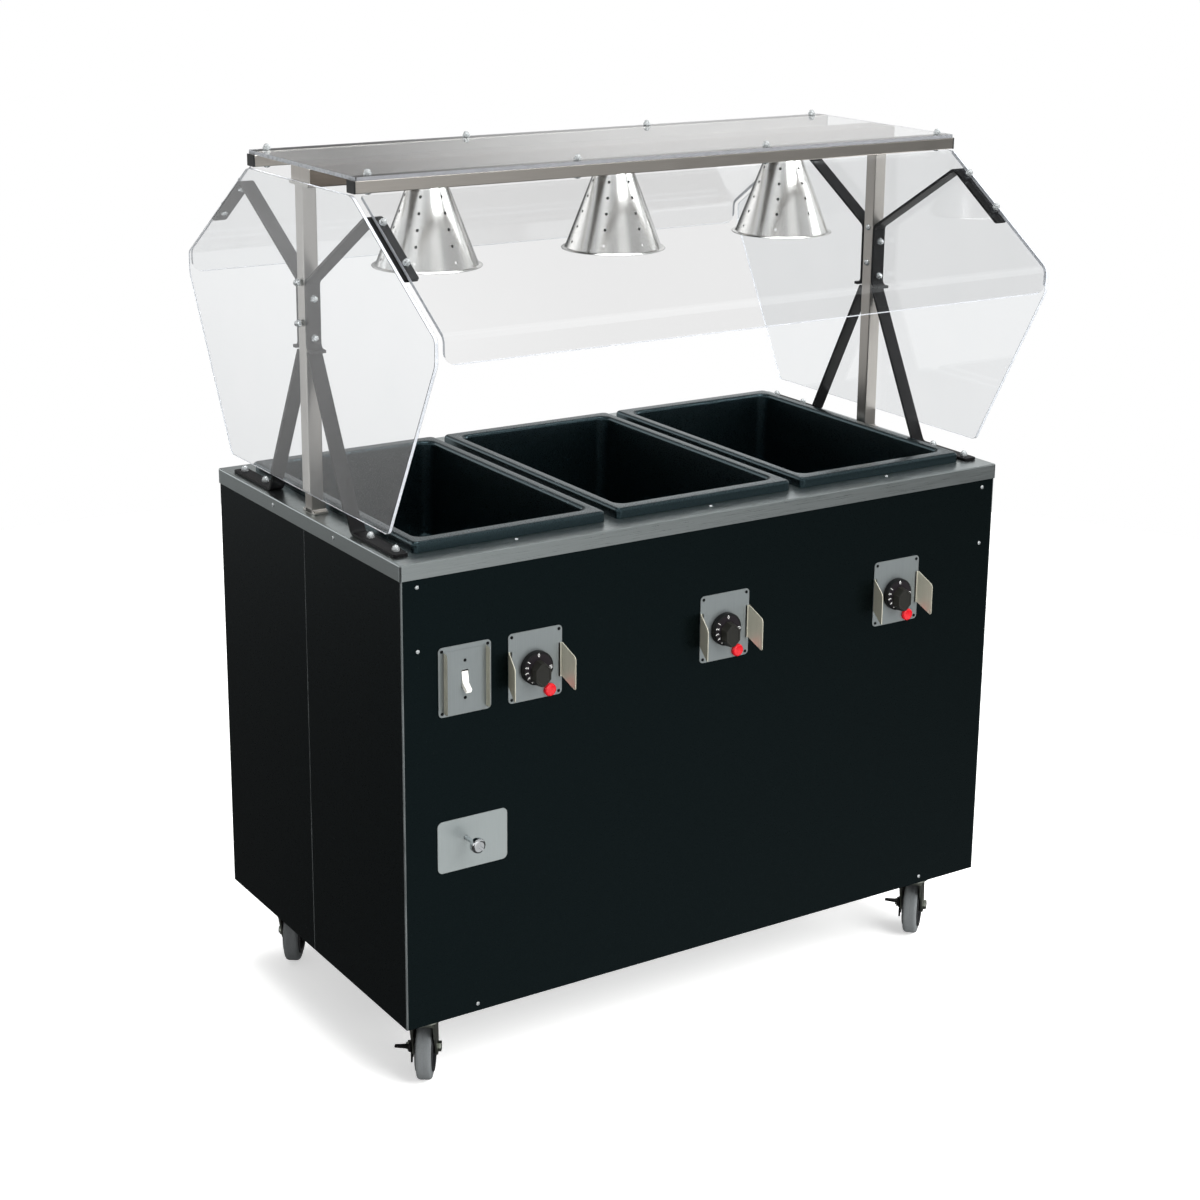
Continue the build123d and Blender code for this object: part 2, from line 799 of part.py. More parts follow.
for dial_name, control_x in zip(well_names, control_xs):
    with BuildPart() as dial:
        with BuildSketch(front_plane(control_x, dial_back, dial_z)):
            Circle(dial_radius)
        extrude(amount=dial_edge)
        with BuildSketch(front_plane(control_x, dial_back - dial_edge, dial_z)):
            Circle(dial_radius)
        extrude(amount=dial_bevel, taper=bevel_draft)
        with BuildSketch(front_plane(control_x, dial_back - dial_edge - dial_bevel, dial_z)):
            with Locations((0, -grip_drop)):
                grip_outline = Rectangle(grip_width, grip_height)
            chamfer(grip_outline.vertices(), length=grip_corner)
        extrude(amount=grip_length, taper=grip_draft)
        fillet(dial.faces().sort_by(Axis.Y)[0].edges(), radius=grip_round)
        with BuildSketch(front_plane(control_x, shaft_end, dial_z)):
            Circle(shaft_radius)
        extrude(amount=shaft_end - dial_back)
    write_part(dial.part, f"dial_{dial_name}")

# Pilot lights: a round-edged lens in front of the plate and a lamp holder behind it
with BuildPart() as pilot_lights:
    for control_x in control_xs:
        lens_plane = front_plane(control_x + pilot_x, plate_front, control_z + pilot_z)
        with BuildSketch(lens_plane):
            Circle(pilot_radius)
        extrude(amount=pilot_lens_height)
        with BuildSketch(lens_plane):
            Circle(pilot_body_radius)
        extrude(amount=-pilot_body_length)
    lens_fronts = pilot_lights.edges().filter_by(GeomType.CIRCLE).group_by(Axis.Y)[0]
    fillet(lens_fronts, radius=pilot_lens_round)
write_part(pilot_lights.part, "pilot_lights")

# Lamp switch: hooded plate, switch body and toggle
hood_height = switch_plate_height - hood_top_inset - hood_bottom_inset
hood_shift = (hood_bottom_inset - hood_top_inset) / 2
hood_width = switch_plate_width - 2 * hood_inset
hood_front = plate_front - hood_gauge
switch_screw_points = [(0, -switch_screw_rise), (0, switch_screw_rise)]

with BuildPart() as switch_plate:
    with BuildSketch(front_plane(switch_x, front_face, switch_z)):
        RectangleRounded(switch_plate_width, switch_plate_height, plate_corner)
        with Locations(corner_points(switch_plate_width, switch_plate_height, plate_screw_inset)):
            Circle(plate_screw_radius + screw_fit, mode=Mode.SUBTRACT)
    extrude(amount=plate_gauge)
    with BuildSketch(front_plane(switch_x, plate_front, switch_z)):
        with Locations((0, hood_shift)):
            Rectangle(hood_width, hood_height)
    extrude(amount=hood_gauge)
    for wall_x in (-hood_width / 2, hood_width / 2 - hood_gauge):
        wall_plane = Plane(
            origin=(switch_x + wall_x, hood_front, switch_z + hood_shift),
            x_dir=(0, -1, 0),
            z_dir=(1, 0, 0),
        )
        with BuildSketch(wall_plane):
            with Locations((hood_reach / 2, 0)):
                hood_wall = Rectangle(hood_reach, hood_height)
            fillet(hood_wall.vertices().group_by(Axis.X)[-1], radius=hood_round)
        extrude(amount=hood_gauge)
    with BuildSketch(front_plane(switch_x, front_face, switch_z)):
        Rectangle(toggle_width + 2 * toggle_gap, toggle_slot_height)
        with Locations(switch_screw_points):
            Circle(plate_screw_radius + screw_fit)
    extrude(amount=plate_gauge + hood_gauge, mode=Mode.SUBTRACT)
    with BuildSketch(front_plane(switch_x, plate_front, switch_z)):
        with Locations(switch_screw_points):
            Circle(plate_screw_head_radius + screw_fit)
    extrude(amount=hood_gauge, mode=Mode.SUBTRACT)
write_part(switch_plate.part, "switch_plate")

pivot_y = plate_front + toggle_set_back
toggle_pocket = toggle_set_back + toggle_root + toggle_gap - plate_gauge

with BuildPart() as switch_body:
    with BuildSketch(front_plane(switch_x, front_face, switch_z)):
        Rectangle(switch_body_width, switch_body_height)
    extrude(amount=-switch_body_depth)
    with BuildSketch(front_plane(switch_x, front_face, switch_z)):
        Rectangle(toggle_width + 2 * toggle_gap, 2 * (toggle_root + toggle_gap))
    extrude(amount=-toggle_pocket, mode=Mode.SUBTRACT)
    with BuildSketch(front_plane(switch_x, front_face, switch_z)):
        with Locations(switch_screw_points):
            Circle(plate_screw_radius + screw_fit)
    extrude(amount=-screw_length, mode=Mode.SUBTRACT)
write_part(switch_body.part, "switch_body")

lever_angle = math.radians(toggle_rest)
lever_plane = Plane(
    origin=(switch_x - toggle_width / 2, pivot_y, switch_z),
    x_dir=(0, -math.cos(lever_angle), -math.sin(lever_angle)),
    z_dir=(1, 0, 0),
)

with BuildPart() as switch_toggle:
    with BuildSketch(lever_plane) as lever:
        Circle(toggle_root)
        with BuildLine():
            Polyline(
                (0, toggle_thickness / 2),
                (toggle_length, toggle_tip / 2),
                (toggle_length, -toggle_tip / 2),
                (0, -toggle_thickness / 2),
                close=True,
            )
        make_face()
    extrude(amount=toggle_width)
write_part(switch_toggle.part, "switch_toggle")

# Power inlet: a flanged cup in the rear wrap with three blades
inlet_plane = Plane(origin=(inlet_x, wrap_half_y, inlet_z), x_dir=(-1, 0, 0), z_dir=(0, 1, 0))

with BuildPart() as power_inlet:
    with BuildSketch(inlet_plane):
        RectangleRounded(inlet_flange, inlet_flange, inlet_corner)
    extrude(amount=inlet_flange_depth)
    with BuildSketch(inlet_plane):
        Circle(inlet_radius)
    extrude(amount=-inlet_depth)
    with BuildSketch(inlet_plane.offset(inlet_flange_depth)):
        Circle(inlet_radius - inlet_wall)
    extrude(amount=-(inlet_depth + inlet_flange_depth - inlet_wall), mode=Mode.SUBTRACT)
    with BuildSketch(inlet_plane.offset(inlet_wall - inlet_depth)):
        with PolarLocations(blade_circle, 3, start_angle=90):
            Rectangle(blade_gauge, blade_width)
    extrude(amount=blade_length)
write_part(power_inlet.part, "power_inlet")


# Fasteners of the cabinet: pan-head screws and caster bolts
def pan_screw(head_radius, head_height, shank_radius):
    with BuildPart() as screw:
        with BuildSketch():
            Circle(head_radius)
        extrude(amount=head_height)
        fillet(screw.edges().sort_by(Axis.Z)[-1], radius=head_height / 2)
        with BuildSketch():
            Circle(shank_radius)
        extrude(amount=-screw_length)
    return screw.part


def caster_bolt():
    with BuildPart() as bolt:
        with BuildSketch():
            RegularPolygon(caster_bolt_head, 6)
        extrude(amount=-caster_bolt_head_height)
        with BuildSketch():
            Circle(caster_bolt_radius)
        extrude(amount=caster_plate_gauge + base_gauge)
        with BuildSketch(Plane.XY.offset(caster_plate_gauge + base_gauge)):
            RegularPolygon(caster_bolt_head, 6)
        extrude(amount=caster_bolt_head_height)
    return bolt.part


screw_shape = pan_screw(screw_head_radius, screw_head_height, screw_radius)
plate_screw = pan_screw(plate_screw_head_radius, plate_screw_head_height, plate_screw_radius)
flush_screw = pan_screw(plate_screw_head_radius, hood_gauge, plate_screw_radius)
bolt_shape = caster_bolt()

with BuildPart() as cabinet_screws:
    for x, z in panel_screw_points + hem_screw_points:
        add(front_plane(x, front_face, z).location * screw_shape)
        add(Plane(origin=(x, wrap_half_y, z), z_dir=(0, 1, 0)).location * screw_shape)
    for y, z in skirt_screw_points:
        for side in (-1, 1):
            skirt_plane = Plane(origin=(side * half_length, y, z), z_dir=(side, 0, 0))
            add(skirt_plane.location * screw_shape)
    for x, y in well_screw_points:
        add(Location((x, y, counter_height)) * screw_shape)
    for control_x in control_xs:
        for dx, dz in corner_points(control_width, control_height, plate_screw_inset):
            add(front_plane(control_x + dx, plate_front, control_z + dz).location * plate_screw)
    for dx, dz in corner_points(switch_plate_width, switch_plate_height, plate_screw_inset):
        add(front_plane(switch_x + dx, plate_front, switch_z + dz).location * plate_screw)
    for dx, dz in switch_screw_points:
        add(front_plane(switch_x + dx, plate_front, switch_z + dz).location * flush_screw)
    for x, y in caster_bolt_points:
        add(Location((x, y, caster_plate_z)) * bolt_shape)
write_part(cabinet_screws.part, "cabinet_screws")

# Caster plates: a bolted top plate with a neck and the king pin that holds the fork
kingpin_head_z = crown_bottom - seat_gap

with BuildPart() as caster_plates:
    for x, y, heading in caster_centers.values():
        with BuildSketch(Plane.XY.offset(caster_plate_z)):
            with Locations((x, y)):
                RectangleRounded(caster_plate_width, caster_plate_length, caster_plate_corner)
        extrude(amount=caster_plate_gauge)
        with BuildSketch(Plane.XY.offset(caster_plate_z)):
            with Locations((x, y)):
                Circle(neck_radius)
        extrude(amount=-neck_height)
        with BuildSketch(Plane.XY.offset(neck_bottom)):
            with Locations((x, y)):
                Circle(kingpin_radius)
        extrude(amount=kingpin_head_z - neck_bottom)
        with BuildSketch(Plane.XY.offset(kingpin_head_z)):
            with Locations((x, y)):
                Circle(kingpin_head_radius)
        extrude(amount=-kingpin_head_height)
    with BuildSketch(Plane.XY.offset(caster_plate_z)):
        with Locations(caster_bolt_points):
            Circle(caster_bolt_radius + bolt_fit)
    extrude(amount=caster_plate_gauge, mode=Mode.SUBTRACT)
write_part(caster_plates.part, "caster_plates")

# One caster about its king pin at the origin: the wheel trails along +Y, its axle lies along X
axle_plane = Plane(origin=(0, trail, wheel_radius), x_dir=(0, 1, 0), z_dir=(1, 0, 0))

with BuildPart() as fork:
    with BuildSketch(Plane.XY.offset(crown_bottom)):
        with Locations((0, (fork_top_rear - fork_top_front) / 2)):
            Rectangle(2 * fork_outer, fork_top_front + fork_top_rear)
        Circle(swivel_radius)
    extrude(amount=crown_gauge)
    with BuildSketch(Plane.XY.offset(crown_top)):
        Circle(swivel_radius)
        Circle(swivel_bore, mode=Mode.SUBTRACT)
    extrude(amount=swivel_height - seat_gap)
    with BuildSketch(Plane.XY.offset(crown_bottom)):
        Circle(kingpin_radius + kingpin_fit)
    extrude(amount=crown_gauge, mode=Mode.SUBTRACT)
    for side in (-1, 1):
        with BuildSketch(Plane.YZ.offset(side * fork_inner)):
            with Locations((trail, wheel_radius)):
                Circle(fork_end_radius)
            with Locations(((fork_top_rear - fork_top_front) / 2, crown_top - crown_gauge / 2)):
                Rectangle(fork_top_front + fork_top_rear, crown_gauge)
            make_hull()
            with Locations((trail, wheel_radius)):
                Circle(axle_radius + tread_fit, mode=Mode.SUBTRACT)
        extrude(amount=side * fork_gauge)

with BuildPart() as hub:
    with BuildSketch(axle_plane.offset(-hub_width / 2)):
        Circle(hub_radius)
    extrude(amount=hub_width)
    with BuildSketch(axle_plane.offset(-hub_width / 2)):
        Circle(hub_radius - hub_rim)
        Circle(hub_boss_radius, mode=Mode.SUBTRACT)
    extrude(amount=(hub_width - hub_web) / 2, mode=Mode.SUBTRACT)
    with BuildSketch(axle_plane.offset(hub_width / 2)):
        Circle(hub_radius - hub_rim)
        Circle(hub_boss_radius, mode=Mode.SUBTRACT)
    extrude(amount=-(hub_width - hub_web) / 2, mode=Mode.SUBTRACT)
    with BuildSketch(axle_plane):
        Circle(axle_radius + axle_fit)
    extrude(amount=hub_width, both=True, mode=Mode.SUBTRACT)

with BuildPart() as tyre:
    with BuildSketch(axle_plane.offset(-tread_width / 2)):
        Circle(wheel_radius)
    extrude(amount=tread_width)
    fillet(tyre.edges().filter_by(GeomType.CIRCLE), radius=tread_crown)
    with BuildSketch(axle_plane):
        Circle(hub_radius + tread_fit)
    extrude(amount=tread_width, both=True, mode=Mode.SUBTRACT)

brake_inner = fork_outer + brake_gap
brake_outer = brake_inner + brake_gauge
pedal_y = trail - brake_reach
pedal_z = wheel_radius + brake_rise

with BuildPart() as brake:
    with BuildSketch(Plane.YZ.offset(-brake_inner)):
        with Locations((trail, wheel_radius)):
            Circle(brake_eye_radius)
        with Locations((pedal_y, pedal_z)):
            Circle(brake_end_radius)
        make_hull()
        with Locations((trail, wheel_radius)):
            Circle(axle_radius + axle_fit, mode=Mode.SUBTRACT)
    extrude(amount=-brake_gauge)
    with BuildSketch(Plane.YZ.offset(-brake_inner)):
        with Locations((trail, wheel_radius - axle_radius - axle_fit)):
            Rectangle(toe_width, toe_drop - axle_radius - axle_fit, align=(Align.CENTER, Align.MAX))
        with Locations((trail, wheel_radius - toe_drop)):
            Circle(toe_arch, mode=Mode.SUBTRACT)
        with Locations((trail, wheel_radius)):
            Circle(axle_radius + axle_fit, mode=Mode.SUBTRACT)
    extrude(amount=-brake_gauge)
    with BuildSketch(Plane.XY.offset(pedal_z)):
        with BuildLine():
            Polyline(
                (-brake_inner, pedal_y - pedal_depth / 2),
                (-brake_inner - pedal_width, pedal_y - pedal_tip / 2),
                (-brake_inner - pedal_width, pedal_y + pedal_tip / 2),
                (-brake_inner, pedal_y + pedal_depth / 2),
                close=True,
            )
        make_face()
    extrude(amount=brake_gauge)
    fillet(brake.edges().filter_by(Axis.Z).group_by(Axis.X)[0], radius=brake_gauge)


def axle_bolt(near_end):
    # near_end is where the nut sits on the -X side, past the brake where there is one.
    with BuildPart() as axle:
        with BuildSketch(axle_plane.offset(-near_end)):
            Circle(axle_radius)
        extrude(amount=near_end + fork_outer)
        with BuildSketch(axle_plane.offset(fork_outer)):
            RegularPolygon(axle_head_radius, 6)
        extrude(amount=axle_head_height)
        with BuildSketch(axle_plane.offset(-near_end)):
            RegularPolygon(axle_head_radius, 6)
        extrude(amount=-axle_head_height)
    return axle.part


plain_axle = axle_bolt(fork_outer)
brake_axle = axle_bolt(brake_outer + brake_gap)

for corner, (x, y, heading) in caster_centers.items():
    place = Location((x, y, 0), (0, 0, -heading))
    has_brake = corner.startswith("front")
    write_part(place * fork.part, f"fork_{corner}")
    write_part(place * hub.part, f"hub_{corner}")
    write_part(place * tyre.part, f"tyre_{corner}")
    write_part(place * (brake_axle if has_brake else plain_axle), f"axle_{corner}")
    if has_brake:
        write_part(place * brake.part, f"brake_{corner}")

# Guard posts: square tubes on welded feet
for post_name, side in (("left", -1), ("right", 1)):
    with BuildPart() as post:
        with BuildSketch(Plane.XY.offset(counter_height)):
            with Locations((side * post_x, 0)):
                Rectangle(post_size, post_foot)
        extrude(amount=post_foot_gauge)
        with BuildSketch(Plane.XY.offset(counter_height)):
            with Locations((side * post_x, 0)):
                Rectangle(post_size, post_size)
        extrude(amount=raceway_bottom - counter_height)
        with BuildSketch(Plane.XY.offset(counter_height)):
            with Locations((side * post_x, 0)):
                Rectangle(post_size - 2 * post_wall, post_size - 2 * post_wall)
        extrude(amount=raceway_bottom - counter_height, mode=Mode.SUBTRACT)
        with BuildSketch(Plane.XZ):
            with Locations([(side * post_x, z) for z in strap_bolt_heights]):
                Circle(bolt_radius + bolt_fit)
        extrude(amount=post_size, both=True, mode=Mode.SUBTRACT)
        with BuildSketch(Plane.YZ.offset(side * post_x)):
            with Locations([(0, z) for z in panel_bolt_heights]):
                Circle(bolt_radius + bolt_fit)
        extrude(amount=post_size, both=True, mode=Mode.SUBTRACT)
    write_part(post.part, f"post_{post_name}")

# Raceway: a closed stainless box across the posts, which holds the lamp wiring
with BuildPart() as raceway:
    with BuildSketch(Plane.XY.offset(raceway_bottom)):
        Rectangle(2 * shelf_half_length, raceway_width)
    extrude(amount=raceway_height)
    with BuildSketch(Plane.XY.offset(raceway_bottom + raceway_wall)):
        Rectangle(2 * (shelf_half_length - raceway_wall), raceway_width - 2 * raceway_wall)
    extrude(amount=raceway_height - 2 * raceway_wall, mode=Mode.SUBTRACT)
    with BuildSketch(Plane.XY.offset(raceway_bottom)):
        with Locations(lamp_centers):
            Circle(nipple_radius + nipple_fit)
    extrude(amount=raceway_wall, mode=Mode.SUBTRACT)
write_part(raceway.part, "raceway")

# Shelf rails along the front and rear edges, and the plugs in their ends
with BuildPart() as shelf_rails:
    with BuildSketch(Plane.YZ.offset(-shelf_half_length)):
        with Locations([(sy * rail_y, rail_bottom + rail_height / 2) for sy in (-1, 1)]):
            Rectangle(rail_width, rail_height)
            Rectangle(rail_width - 2 * rail_wall, rail_height - 2 * rail_wall, mode=Mode.SUBTRACT)
    extrude(amount=2 * shelf_half_length)
    with BuildSketch(Plane.XY.offset(rail_bottom)):
        with Locations(shelf_bolt_points):
            Circle(bolt_radius + bolt_fit)
    extrude(amount=rail_height, mode=Mode.SUBTRACT)
write_part(shelf_rails.part, "shelf_rails")

plug_width = rail_width - 2 * rail_wall - 2 * cap_fit
plug_height = rail_height - 2 * rail_wall - 2 * cap_fit
cap_centers = [(sy * rail_y, rail_bottom + rail_height / 2) for sy in (-1, 1)]

with BuildPart() as rail_caps:
    for side in (-1, 1):
        with BuildSketch(Plane.YZ.offset(side * shelf_half_length)):
            with Locations(cap_centers):
                Rectangle(rail_width, rail_height)
        extrude(amount=side * cap_gauge)
        with BuildSketch(Plane.YZ.offset(side * shelf_half_length)):
            with Locations(cap_centers):
                Rectangle(plug_width, plug_height)
        extrude(amount=-side * cap_plug)
write_part(rail_caps.part, "rail_caps")

# Clear shelf sheet on the rails and the raceway
with BuildPart() as top_sheet:
    with BuildSketch(Plane.XY.offset(sheet_under)):
        RectangleRounded(2 * shelf_half_length, 2 * shelf_half_depth, sheet_corner)
        with Locations(shelf_bolt_points):
            Circle(bolt_radius + bolt_fit, mode=Mode.SUBTRACT)
    extrude(amount=sheet_gauge)
write_part(top_sheet.part, "top_sheet")

# End panels: clear sheets on the posts' outer faces
with BuildPart() as end_panels:
    for side in (-1, 1):
        with BuildSketch(Plane.YZ.offset(side * shelf_half_length)) as end_outline:
            with BuildLine():
                Polyline(
                    (-panel_top_half, panel_top_z),
                    (panel_top_half, panel_top_z),
                    (panel_wide_half, panel_upper_z),
                    (panel_wide_half, panel_lower_z),
                    (panel_bottom_half, panel_bottom_z),
                    (-panel_bottom_half, panel_bottom_z),
                    (-panel_wide_half, panel_lower_z),
                    (-panel_wide_half, panel_upper_z),
                    close=True,
                )
            make_face()
            fillet(end_outline.vertices(), radius=panel_round)
            with Locations([(0, z) for z in panel_bolt_heights]):
                Circle(bolt_radius + bolt_fit, mode=Mode.SUBTRACT)
        extrude(amount=side * sheet_gauge)
write_part(end_panels.part, "end_panels")

# The sloping guard sheets lie just outside the end panels' sloping edges.
# Everything on the slope is set out for the rear (+Y) and turned half round for the front.
slope = math.atan2(panel_top_z - panel_upper_z, panel_wide_half - panel_top_half)
slope_sin = math.sin(slope)
slope_cos = math.cos(slope)
lip_y = panel_wide_half + slope_gap
bend_z = panel_upper_z + slope_gap * (1 - slope_sin) / slope_cos
slope_top_z = rail_bottom - slope_top_gap - sheet_gauge * slope_cos
slope_top_y = lip_y - (slope_top_z - bend_z) / math.tan(slope)
slope_half_x = shelf_half_length - slope_side_gap


def slope_point(distance):
    # A point on the sheet's inner face, measured down the slope from its top edge.
    return (slope_top_y + distance * slope_cos, slope_top_z - distance * slope_sin)


tab_bolt_points = [slope_point(tab_start + offset) for offset in tab_bolt_offsets]
slope_out = (0, slope_sin, slope_cos)

with BuildPart() as rear_panel:
    with BuildSketch(Plane.YZ.offset(-slope_half_x)):
        with BuildLine():
            FilletPolyline(
                (slope_top_y, slope_top_z), (lip_y, bend_z), (lip_y, panel_lower_z), radius=slope_bend
            )
            offset(amount=sheet_gauge, side=Side.LEFT)
        make_face()
    extrude(amount=2 * slope_half_x)
    fillet(rear_panel.edges().filter_by(Axis.Y).group_by(Axis.Z)[0], radius=slope_corner)
    for side in (-1, 1):
        for y, z in tab_bolt_points:
            with BuildSketch(Plane(origin=(side * post_x, y, z), z_dir=slope_out)):
                Circle(bolt_radius + bolt_fit)
            extrude(amount=sheet_gauge, both=True, mode=Mode.SUBTRACT)
half_turn = Location((0, 0, 0), (0, 0, 180))

with BuildPart() as slope_panels:
    add(rear_panel.part)
    add(half_turn * rear_panel.part)
write_part(slope_panels.part, "slope_panels")

# Upper brackets: bent flat bars, bolted through the posts, which carry the sloping sheets
tab_top = slope_point(tab_start)
tab_end = slope_point(tab_start + tab_length)

with BuildPart() as upper_brackets:
    for side in (-1, 1):
        with BuildSketch(Plane.YZ.offset(side * post_x - bar_width / 2)):
            with BuildLine():
                FilletPolyline(
                    (post_half + flange_length, flange_z),
                    (post_half, flange_z),
                    (post_half, strap_top_z),
                    tab_top,
                    tab_end,
                    radius=bar_bend,
                )
                offset(amount=bar_gauge, side=Side.RIGHT)
            make_face()
        extrude(amount=bar_width)
        with BuildSketch(Plane.XZ):
            with Locations([(side * post_x, z) for z in strap_bolt_heights]):
                Circle(bolt_radius + bolt_fit)
        extrude(amount=-2 * post_size, mode=Mode.SUBTRACT)
        for y, z in tab_bolt_points:
            with BuildSketch(Plane(origin=(side * post_x, y, z), z_dir=slope_out)):
                Circle(bolt_radius + bolt_fit)
            extrude(amount=-2 * bar_gauge, mode=Mode.SUBTRACT)
    add(half_turn * upper_brackets.part)
write_part(upper_brackets.part, "upper_brackets")

# Lower legs: bent flat bars from under the brackets' flanges down to feet on the countertop
leg_top_y = post_half + bar_gauge + leg_set_off
foot_top = counter_height + bar_gauge

with BuildPart() as lower_legs:
    for side in (-1, 1):
        with BuildSketch(Plane.YZ.offset(side * post_x - bar_width / 2)):
            with BuildLine():
                FilletPolyline(
                    (leg_top_y, flange_z),
                    (leg_spread, foot_top),
                    (leg_spread + foot_length, foot_top),
                    radius=bar_bend,
                )
                offset(amount=bar_gauge, side=Side.RIGHT)
            make_face()
        extrude(amount=bar_width)
    split(bisect_by=Plane.XY.offset(flange_z), keep=Keep.BOTTOM)
    add(half_turn * lower_legs.part)
    with BuildSketch(Plane.XY.offset(foot_top)):
        with Locations(foot_bolt_points):
            Circle(bolt_radius + bolt_fit)
    extrude(amount=-bar_gauge, mode=Mode.SUBTRACT)
write_part(lower_legs.part, "lower_legs")


# Acorn bolts of the guard, each modelled from the seat of its domed nut
def acorn_bolt(grip):
    with BuildPart() as bolt:
        with BuildSketch():
            RegularPolygon(nut_radius, 6)
        extrude(amount=nut_height)
        with Locations((0, 0, nut_height)):
            Sphere(dome_radius, arc_size1=0, align=(Align.CENTER, Align.CENTER, Align.MIN))
        with BuildSketch():
            Circle(bolt_radius)
        extrude(amount=-grip)
        with BuildSketch(Plane.XY.offset(-grip)):
            Circle(bolt_head_radius)
        extrude(amount=-bolt_head_height)
    return bolt.part


shelf_bolt = acorn_bolt(sheet_gauge + rail_height)
strap_bolt = acorn_bolt(post_size + 2 * bar_gauge)
end_bolt = acorn_bolt(sheet_gauge + post_size)
tab_bolt = acorn_bolt(sheet_gauge + bar_gauge)
foot_bolt = acorn_bolt(bar_gauge + counter_gauge)

with BuildPart() as guard_bolts:
    for x, y in shelf_bolt_points:
        add(Location((x, y, shelf_top)) * shelf_bolt)
    for x, y in foot_bolt_points:
        add(Location((x, y, foot_top)) * foot_bolt)
    for side in (-1, 1):
        for z in strap_bolt_heights:
            add(front_plane(side * post_x, -post_half - bar_gauge, z).location * strap_bolt)
        for z in panel_bolt_heights:
            outer_face = side * (shelf_half_length + sheet_gauge)
            add(Plane(origin=(outer_face, 0, z), z_dir=(side, 0, 0)).location * end_bolt)
        for y, z in tab_bolt_points:
            seat = Plane(origin=(side * post_x, y, z), z_dir=slope_out).offset(sheet_gauge)
            add(seat.location * tab_bolt)
            add(half_turn * seat.location * tab_bolt)
write_part(guard_bolts.part, "guard_bolts")

# Lamp shades: spun, perforated cones with a small rolled flange
hole_heights = [shade_hole_first + row * shade_hole_step for row in range(shade_hole_rows)]

for lamp_name, (lamp_x, lamp_y) in zip(well_names, lamp_centers):
    with BuildPart() as lamp_shade:
        with BuildSketch(front_plane(lamp_x, lamp_y, shade_bottom)):
            with BuildLine():
                Polyline(
                    (nipple_radius + nipple_fit, shade_height),
                    (shade_top_radius, shade_height),
                    (shade_bottom_radius, shade_flange_rise),
                    (shade_bottom_radius + shade_flange, 0),
                )
                offset(amount=shade_gauge, side=Side.RIGHT)
            make_face()
        revolve(axis=Axis((lamp_x, lamp_y, 0), (0, 0, 1)))
        for height in hole_heights:
            for column in range(shade_hole_columns):
                angle = math.radians(shade_hole_turn + column * 360 / shade_hole_columns)
                hole_axis = Plane(
                    origin=(lamp_x, lamp_y, shade_bottom + height),
                    z_dir=(math.cos(angle), math.sin(angle), 0),
                )
                with BuildSketch(hole_axis):
                    Circle(shade_hole_radius)
                extrude(amount=2 * shade_bottom_radius, mode=Mode.SUBTRACT)
    write_part(lamp_shade.part, f"lamp_shade_{lamp_name}")

# Lamp sockets under the raceway, each held by a threaded nipple
socket_top = shade_top - shade_gauge

with BuildPart() as lamp_sockets:
    for lamp_x, lamp_y in lamp_centers:
        with BuildSketch(Plane.XY.offset(socket_top)):
            with Locations((lamp_x, lamp_y)):
                Circle(socket_radius)
        extrude(amount=-socket_length)
        with BuildSketch(Plane.XY.offset(socket_top)):
            with Locations((lamp_x, lamp_y)):
                Circle(nipple_radius)
        extrude(amount=nipple_length)
        with BuildSketch(Plane.XY.offset(socket_top - socket_length)):
            with Locations((lamp_x, lamp_y)):
                Circle(socket_bore)
        extrude(amount=socket_bore_depth, mode=Mode.SUBTRACT)
write_part(lamp_sockets.part, "lamp_sockets")

# Heat bulbs: a neck in the socket and a reflector body that opens downwards
bulb_top = socket_top - socket_length + socket_bore_depth
bulb_wide = -bulb_neck_length - bulb_cone_length
bulb_tip = bulb_wide - bulb_rim


def bulb_outline(wall):
    # The bulb's half section, drawn inwards from the outside by wall.
    with BuildSketch() as outline:
        with BuildLine():
            Polyline(
                (0, -wall),
                (bulb_neck_radius - wall, -wall),
                (bulb_neck_radius - wall, -bulb_neck_length),
                (bulb_radius - wall, bulb_wide),
                (bulb_radius - wall, bulb_tip + wall),
                (0, bulb_tip + wall),
                close=True,
            )
        make_face()
        fillet(outline.vertices().group_by(Axis.X)[-1], radius=bulb_round - wall)
    return outline.sketch


with BuildPart() as bulbs:
    for lamp_x, lamp_y in lamp_centers:
        lamp_axis = Axis((lamp_x, lamp_y, 0), (0, 0, 1))
        with BuildSketch(front_plane(lamp_x, lamp_y, bulb_top)):
            add(bulb_outline(0))
        revolve(axis=lamp_axis)
        with BuildSketch(front_plane(lamp_x, lamp_y, bulb_top)):
            add(bulb_outline(bulb_wall))
        revolve(axis=lamp_axis, mode=Mode.SUBTRACT)
        with BuildSketch(Plane.XY.offset(bulb_top)):
            with Locations((lamp_x, lamp_y)):
                Circle(bulb_vent)
        extrude(amount=-2 * bulb_wall, mode=Mode.SUBTRACT)
write_part(bulbs.part, "bulbs")
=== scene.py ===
import bmesh
import bpy
import math
from mathutils import Matrix, Vector


